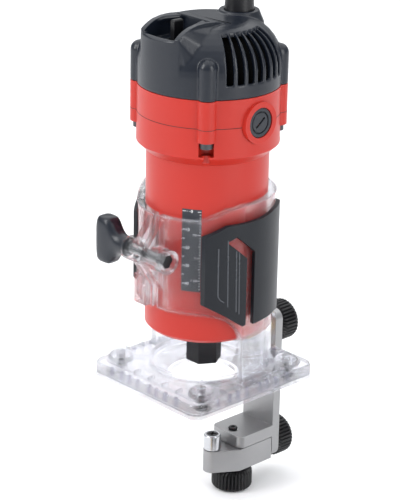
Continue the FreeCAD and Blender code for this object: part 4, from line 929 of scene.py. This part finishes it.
# %% Tick marks
work = bmesh.new()
for step in range(9):
    reach = 3.4 if step % 2 == 0 else 2.4
    mark(work, SCALE_LEFT + 0.5, SCALE_LEFT + 0.5 + reach, SCALE_ZERO - 5 * step, 0.26)
SIXTEENTH = INCH / 16
for step in range(28):
    reach = 3.2 if step % 8 == 0 else 2.3 if step % 4 == 0 else 1.5
    mark(work, SCALE_RIGHT - 0.5 - reach, SCALE_RIGHT - 0.5, SCALE_ZERO - SIXTEENTH * step, 0.22)
for step in range(6):
    gap = 1.2 + 2.2 * step
    if abs(SCALE_LEFT + gap + 1 - ZERO_ANGLE) > 2.2:
        mark(work, SCALE_LEFT + 3.6 + gap, SCALE_LEFT + 4.4 + gap, SCALE_ZERO, 0.2)
add_piece("scale_marks", as_mesh(work, "scale_marks"), "motor", "scale_white")


# %% Figures
def figure(words, size, angle, height):
    """A printed figure wrapped on the scale, centred at an angle and height."""
    text = bpy.data.curves.new("figure_text", "FONT")
    text.body = words
    text.size = size
    text.align_x = "CENTER"
    text.align_y = "CENTER"
    text.extrude = PRINT_THICKNESS / 2
    holder = bpy.data.objects.new("figure_text", text)
    scene.collection.objects.link(holder)
    mesh = baked(holder)
    bpy.data.objects.remove(holder)
    wrapped(mesh, angle, height)
    return mesh


FIGURES = [("0", 2.3, ZERO_ANGLE, SCALE_ZERO)]
FIGURES += [(str(10 * i), 2.2, -60.8, SCALE_ZERO - 10 * i) for i in range(1, 5)]
FIGURES += [("1/2", 1.8, -54.4, SCALE_ZERO - INCH / 2), ("1", 1.8, -53.6, SCALE_ZERO - INCH),
            ("1 1/2", 1.6, -54.6, SCALE_ZERO - 1.5 * INCH)]
for number, (words, size, angle, height) in enumerate(FIGURES):
    add_piece(f"scale_figure_{number}", figure(words, size, angle, height), "motor",
              "scale_white")
print("scale figures:", len(FIGURES))

# %% [markdown]
# A brush cap is a turned disc with a raised rim, a ring groove and a slanted slot for a
# screwdriver or coin. The slot is cut by a boolean, which is applied at once.

# %% Brush caps
def carved(mesh, cutters):
    """The mesh with the cutter meshes taken away from it."""
    body = bpy.data.objects.new("carving", mesh)
    scene.collection.objects.link(body)
    tools = []
    for number, cutter in enumerate(cutters):
        tool = bpy.data.objects.new(f"cutter_{number}", cutter)
        scene.collection.objects.link(tool)
        tools.append(tool)
        cut = body.modifiers.new("cut", "BOOLEAN")
        cut.object = tool
        cut.solver = "EXACT"
    result = baked(body)
    for thing in [body] + tools:
        bpy.data.objects.remove(thing)
    smooth_by_angle(result)
    return result


CAP_PROFILE = [
    (0, 0), (7.9, 0), (7.95, 3.9), (7.6, 4.5), (7.1, 4.6), (6.1, 4.6), (5.85, 4.3), (5.85, 3.5),
    (5.3, 3.5), (5.3, 4.2), (5.0, 4.45), (0, 4.5),
]
CAP_LEVEL = 153
CAP_HEIGHT = 4.6
for side, sign in (("right", 1), ("left", -1)):
    low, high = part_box(f"brush_cap_{side}")
    seat = low.x if sign > 0 else high.x
    at = (seat / MM, 0, CAP_LEVEL)
    cap = turned("cap", CAP_PROFILE, at, "X" if sign > 0 else "-X")
    slot_place = Matrix.Translation(mm(at[0] + sign * CAP_HEIGHT, 0, CAP_LEVEL))
    slot_turn = Matrix.Rotation(math.radians(38 * sign), 4, "X")
    cap = carved(cap, [block(2.4, 7.4, 1.2, slot_place @ slot_turn)])
    name = f"brush_cap_{side}"
    add_piece(name + "_turned", cap, "motor", "grey_plastic", [name])
print("brush caps turned")

# %% [markdown]
# The grips are soft rubber. The front panel has raised lines that run down it and a foot
# that curls forward, so a hand can feel where it is. Each line is a thin tube half sunk in
# the rubber, and it ends where the rubber ends.

# %% Raised lines on the grips
GRIP_RADIUS = 38.9
RAY_START = 60
GRIP_LINES = [
    [(-21.7, 88), (-21.6, 61.5), (-20.4, 59.2), (-18.8, 58.1)],
    [(-17.4, 92.5), (-17.0, 55.5)],
    [(-13.2, 94), (-12.6, 52)],
    [(-11.6, 92), (-11.0, 50.5)],
]
for side, sign in (("right", 1), ("left", -1)):
    rubber_mesh = frame["nodes"][f"grip_{side}"].data
    rubber = BVHTree.FromPolygons([vertex.co for vertex in rubber_mesh.vertices],
                                  [face.vertices[:] for face in rubber_mesh.polygons])
    chains = []
    for stops in GRIP_LINES:
        chain = []
        for (y0, z0), (y1, z1) in zip(stops, stops[1:]):
            count = math.ceil(math.hypot(y1 - y0, z1 - z0))
            for step in range(count + 1):
                y = y0 + (y1 - y0) * step / count
                z = z0 + (z1 - z0) * step / count
                spot = rubber.ray_cast(mm(sign * RAY_START, y, z), Vector((-sign, 0, 0)))[0]
                if spot and abs(math.hypot(spot.x, spot.y) / MM - GRIP_RADIUS) < 0.1:
                    chain.append(spot)
                else:
                    chain = []
        if len(chain) > 2:
            chains.append(chain)
    # The lines get the lighter ridge finish, a painted highlight along each raised line.
    tubes(f"grip_lines_{side}", chains, 0.42, "base", "rubber_dark", look="ridge_rubber_highlight")
print("grip lines:", len(GRIP_LINES), "on each side")

# %% [markdown]
# Under the trimmer guide the clamping stud ends in a dark, dished tip, and the roller turns
# on a cross-head screw. Both are small turned faces laid on the CAD pieces, because a dark
# face with its own edge reads better there than a painted one.

# %% Small dark parts of the guide
STUD_TIP = [(0, 0), (2.6, 0), (2.6, 0.9), (2.2, 1.3), (1.2, 1.3), (1.1, 0.7), (0, 0.7)]
add_piece("stud_tip", turned("stud_tip", STUD_TIP, (-1.5, 25.5, -41.6), steps=32),
          "slide_clamp", "black_steel")
low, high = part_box("guide_roller")
roller_top = high.z / MM
roller_x, roller_y = (low.x + high.x) / 2 / MM, (low.y + high.y) / 2 / MM
# A flat disc of dark steel stands where the screw's recess is; its darkness is partly the steel and
# partly painted shade of the recess.
RECESS_SHADE_DISC = [(0, 0), (3.1, 0), (3.1, 0.12), (0, 0.12)]
screw_face = turned("face", RECESS_SHADE_DISC, (roller_x, roller_y, roller_top), steps=32)
add_piece("roller_screw_face", screw_face, "roller", "steel", look="dull_steel")
# Two near black bars in a cross are painted shade of the cross-head recess.
for number, degrees in enumerate((35, 125)):
    cross_shade_bar = block(4.4, 0.9, 0.2, Matrix.Translation(mm(roller_x, roller_y, roller_top + 0.1))
                @ Matrix.Rotation(math.radians(degrees), 4, "Z"))
    add_piece(f"roller_cross_shade_{number}", cross_shade_bar, "roller", "steel", look="shadow_black")
print("guide details added")

# %% [markdown]
# The tool stands over a plain pale floor. The world is dark below and bright above, which
# gives round parts a slow change of tone. Three soft rectangular lights shape it: a key from
# the front left, a weaker fill from the right, and a very large one overhead.

# %% Floor and light
FLOOR_REACH = 9.0
FLOOR_GAP = 0.0003
lowest = cad_box[0].z
floor_mesh = bpy.data.meshes.new("floor")
floor_mesh.from_pydata(
    [(x * FLOOR_REACH, y * FLOOR_REACH, lowest - FLOOR_GAP)
     for x, y in ((-1, -1), (1, -1), (1, 1), (-1, 1))],
    [], [(0, 1, 2, 3)])
floor = bpy.data.objects.new("floor", floor_mesh)
scene.collection.objects.link(floor)
pale = bpy.data.materials.new("pale_floor")
pale.use_nodes = True
pale_shader = pale.node_tree.nodes["Principled BSDF"]
pale_shader.inputs["Base Color"].default_value = (0.93, 0.93, 0.935, 1)
pale_shader.inputs["Roughness"].default_value = 0.9
floor_mesh.materials.append(pale)

world = bpy.data.worlds.new("studio")
scene.world = world
world.use_nodes = True
studio = world.node_tree
background = studio.nodes["Background"]
background.inputs["Color"].default_value = (0.95, 0.97, 1.0, 1)
direction = node(studio, "ShaderNodeTexCoord")
rise = node(studio, "ShaderNodeSeparateXYZ", {"Vector": direction.outputs["Generated"]})
sky = node(studio, "ShaderNodeMapRange", {
    "Value": rise.outputs["Z"], "From Min": 0.0, "From Max": 0.7, "To Min": 0.25, "To Max": 0.9})
studio.links.new(sky.outputs["Result"], background.inputs["Strength"])


def softbox(name, at, width, height, watts, color=(1, 1, 1)):
    """A rectangular light that faces the middle of the tool."""
    data = bpy.data.lights.new(name, "AREA")
    data.shape = "RECTANGLE"
    data.size, data.size_y = width, height
    data.energy = watts
    data.color = color
    lamp = bpy.data.objects.new(name, data)
    scene.collection.objects.link(lamp)
    lamp.location = at
    lamp.rotation_mode = "QUATERNION"
    lamp.rotation_quaternion = (Vector((0, 0, 0.08)) - lamp.location).to_track_quat("-Z", "Y")


softbox("key_left", (-0.45, -1.1, 0.8), 0.5, 1.0, 12)
softbox("fill_right", (1.2, 0.1, 0.5), 0.4, 1.0, 7)
softbox("top", (-0.6, 0.6, 2.4), 5.0, 5.0, 75)
print("lights:", [light.name for light in bpy.data.lights])
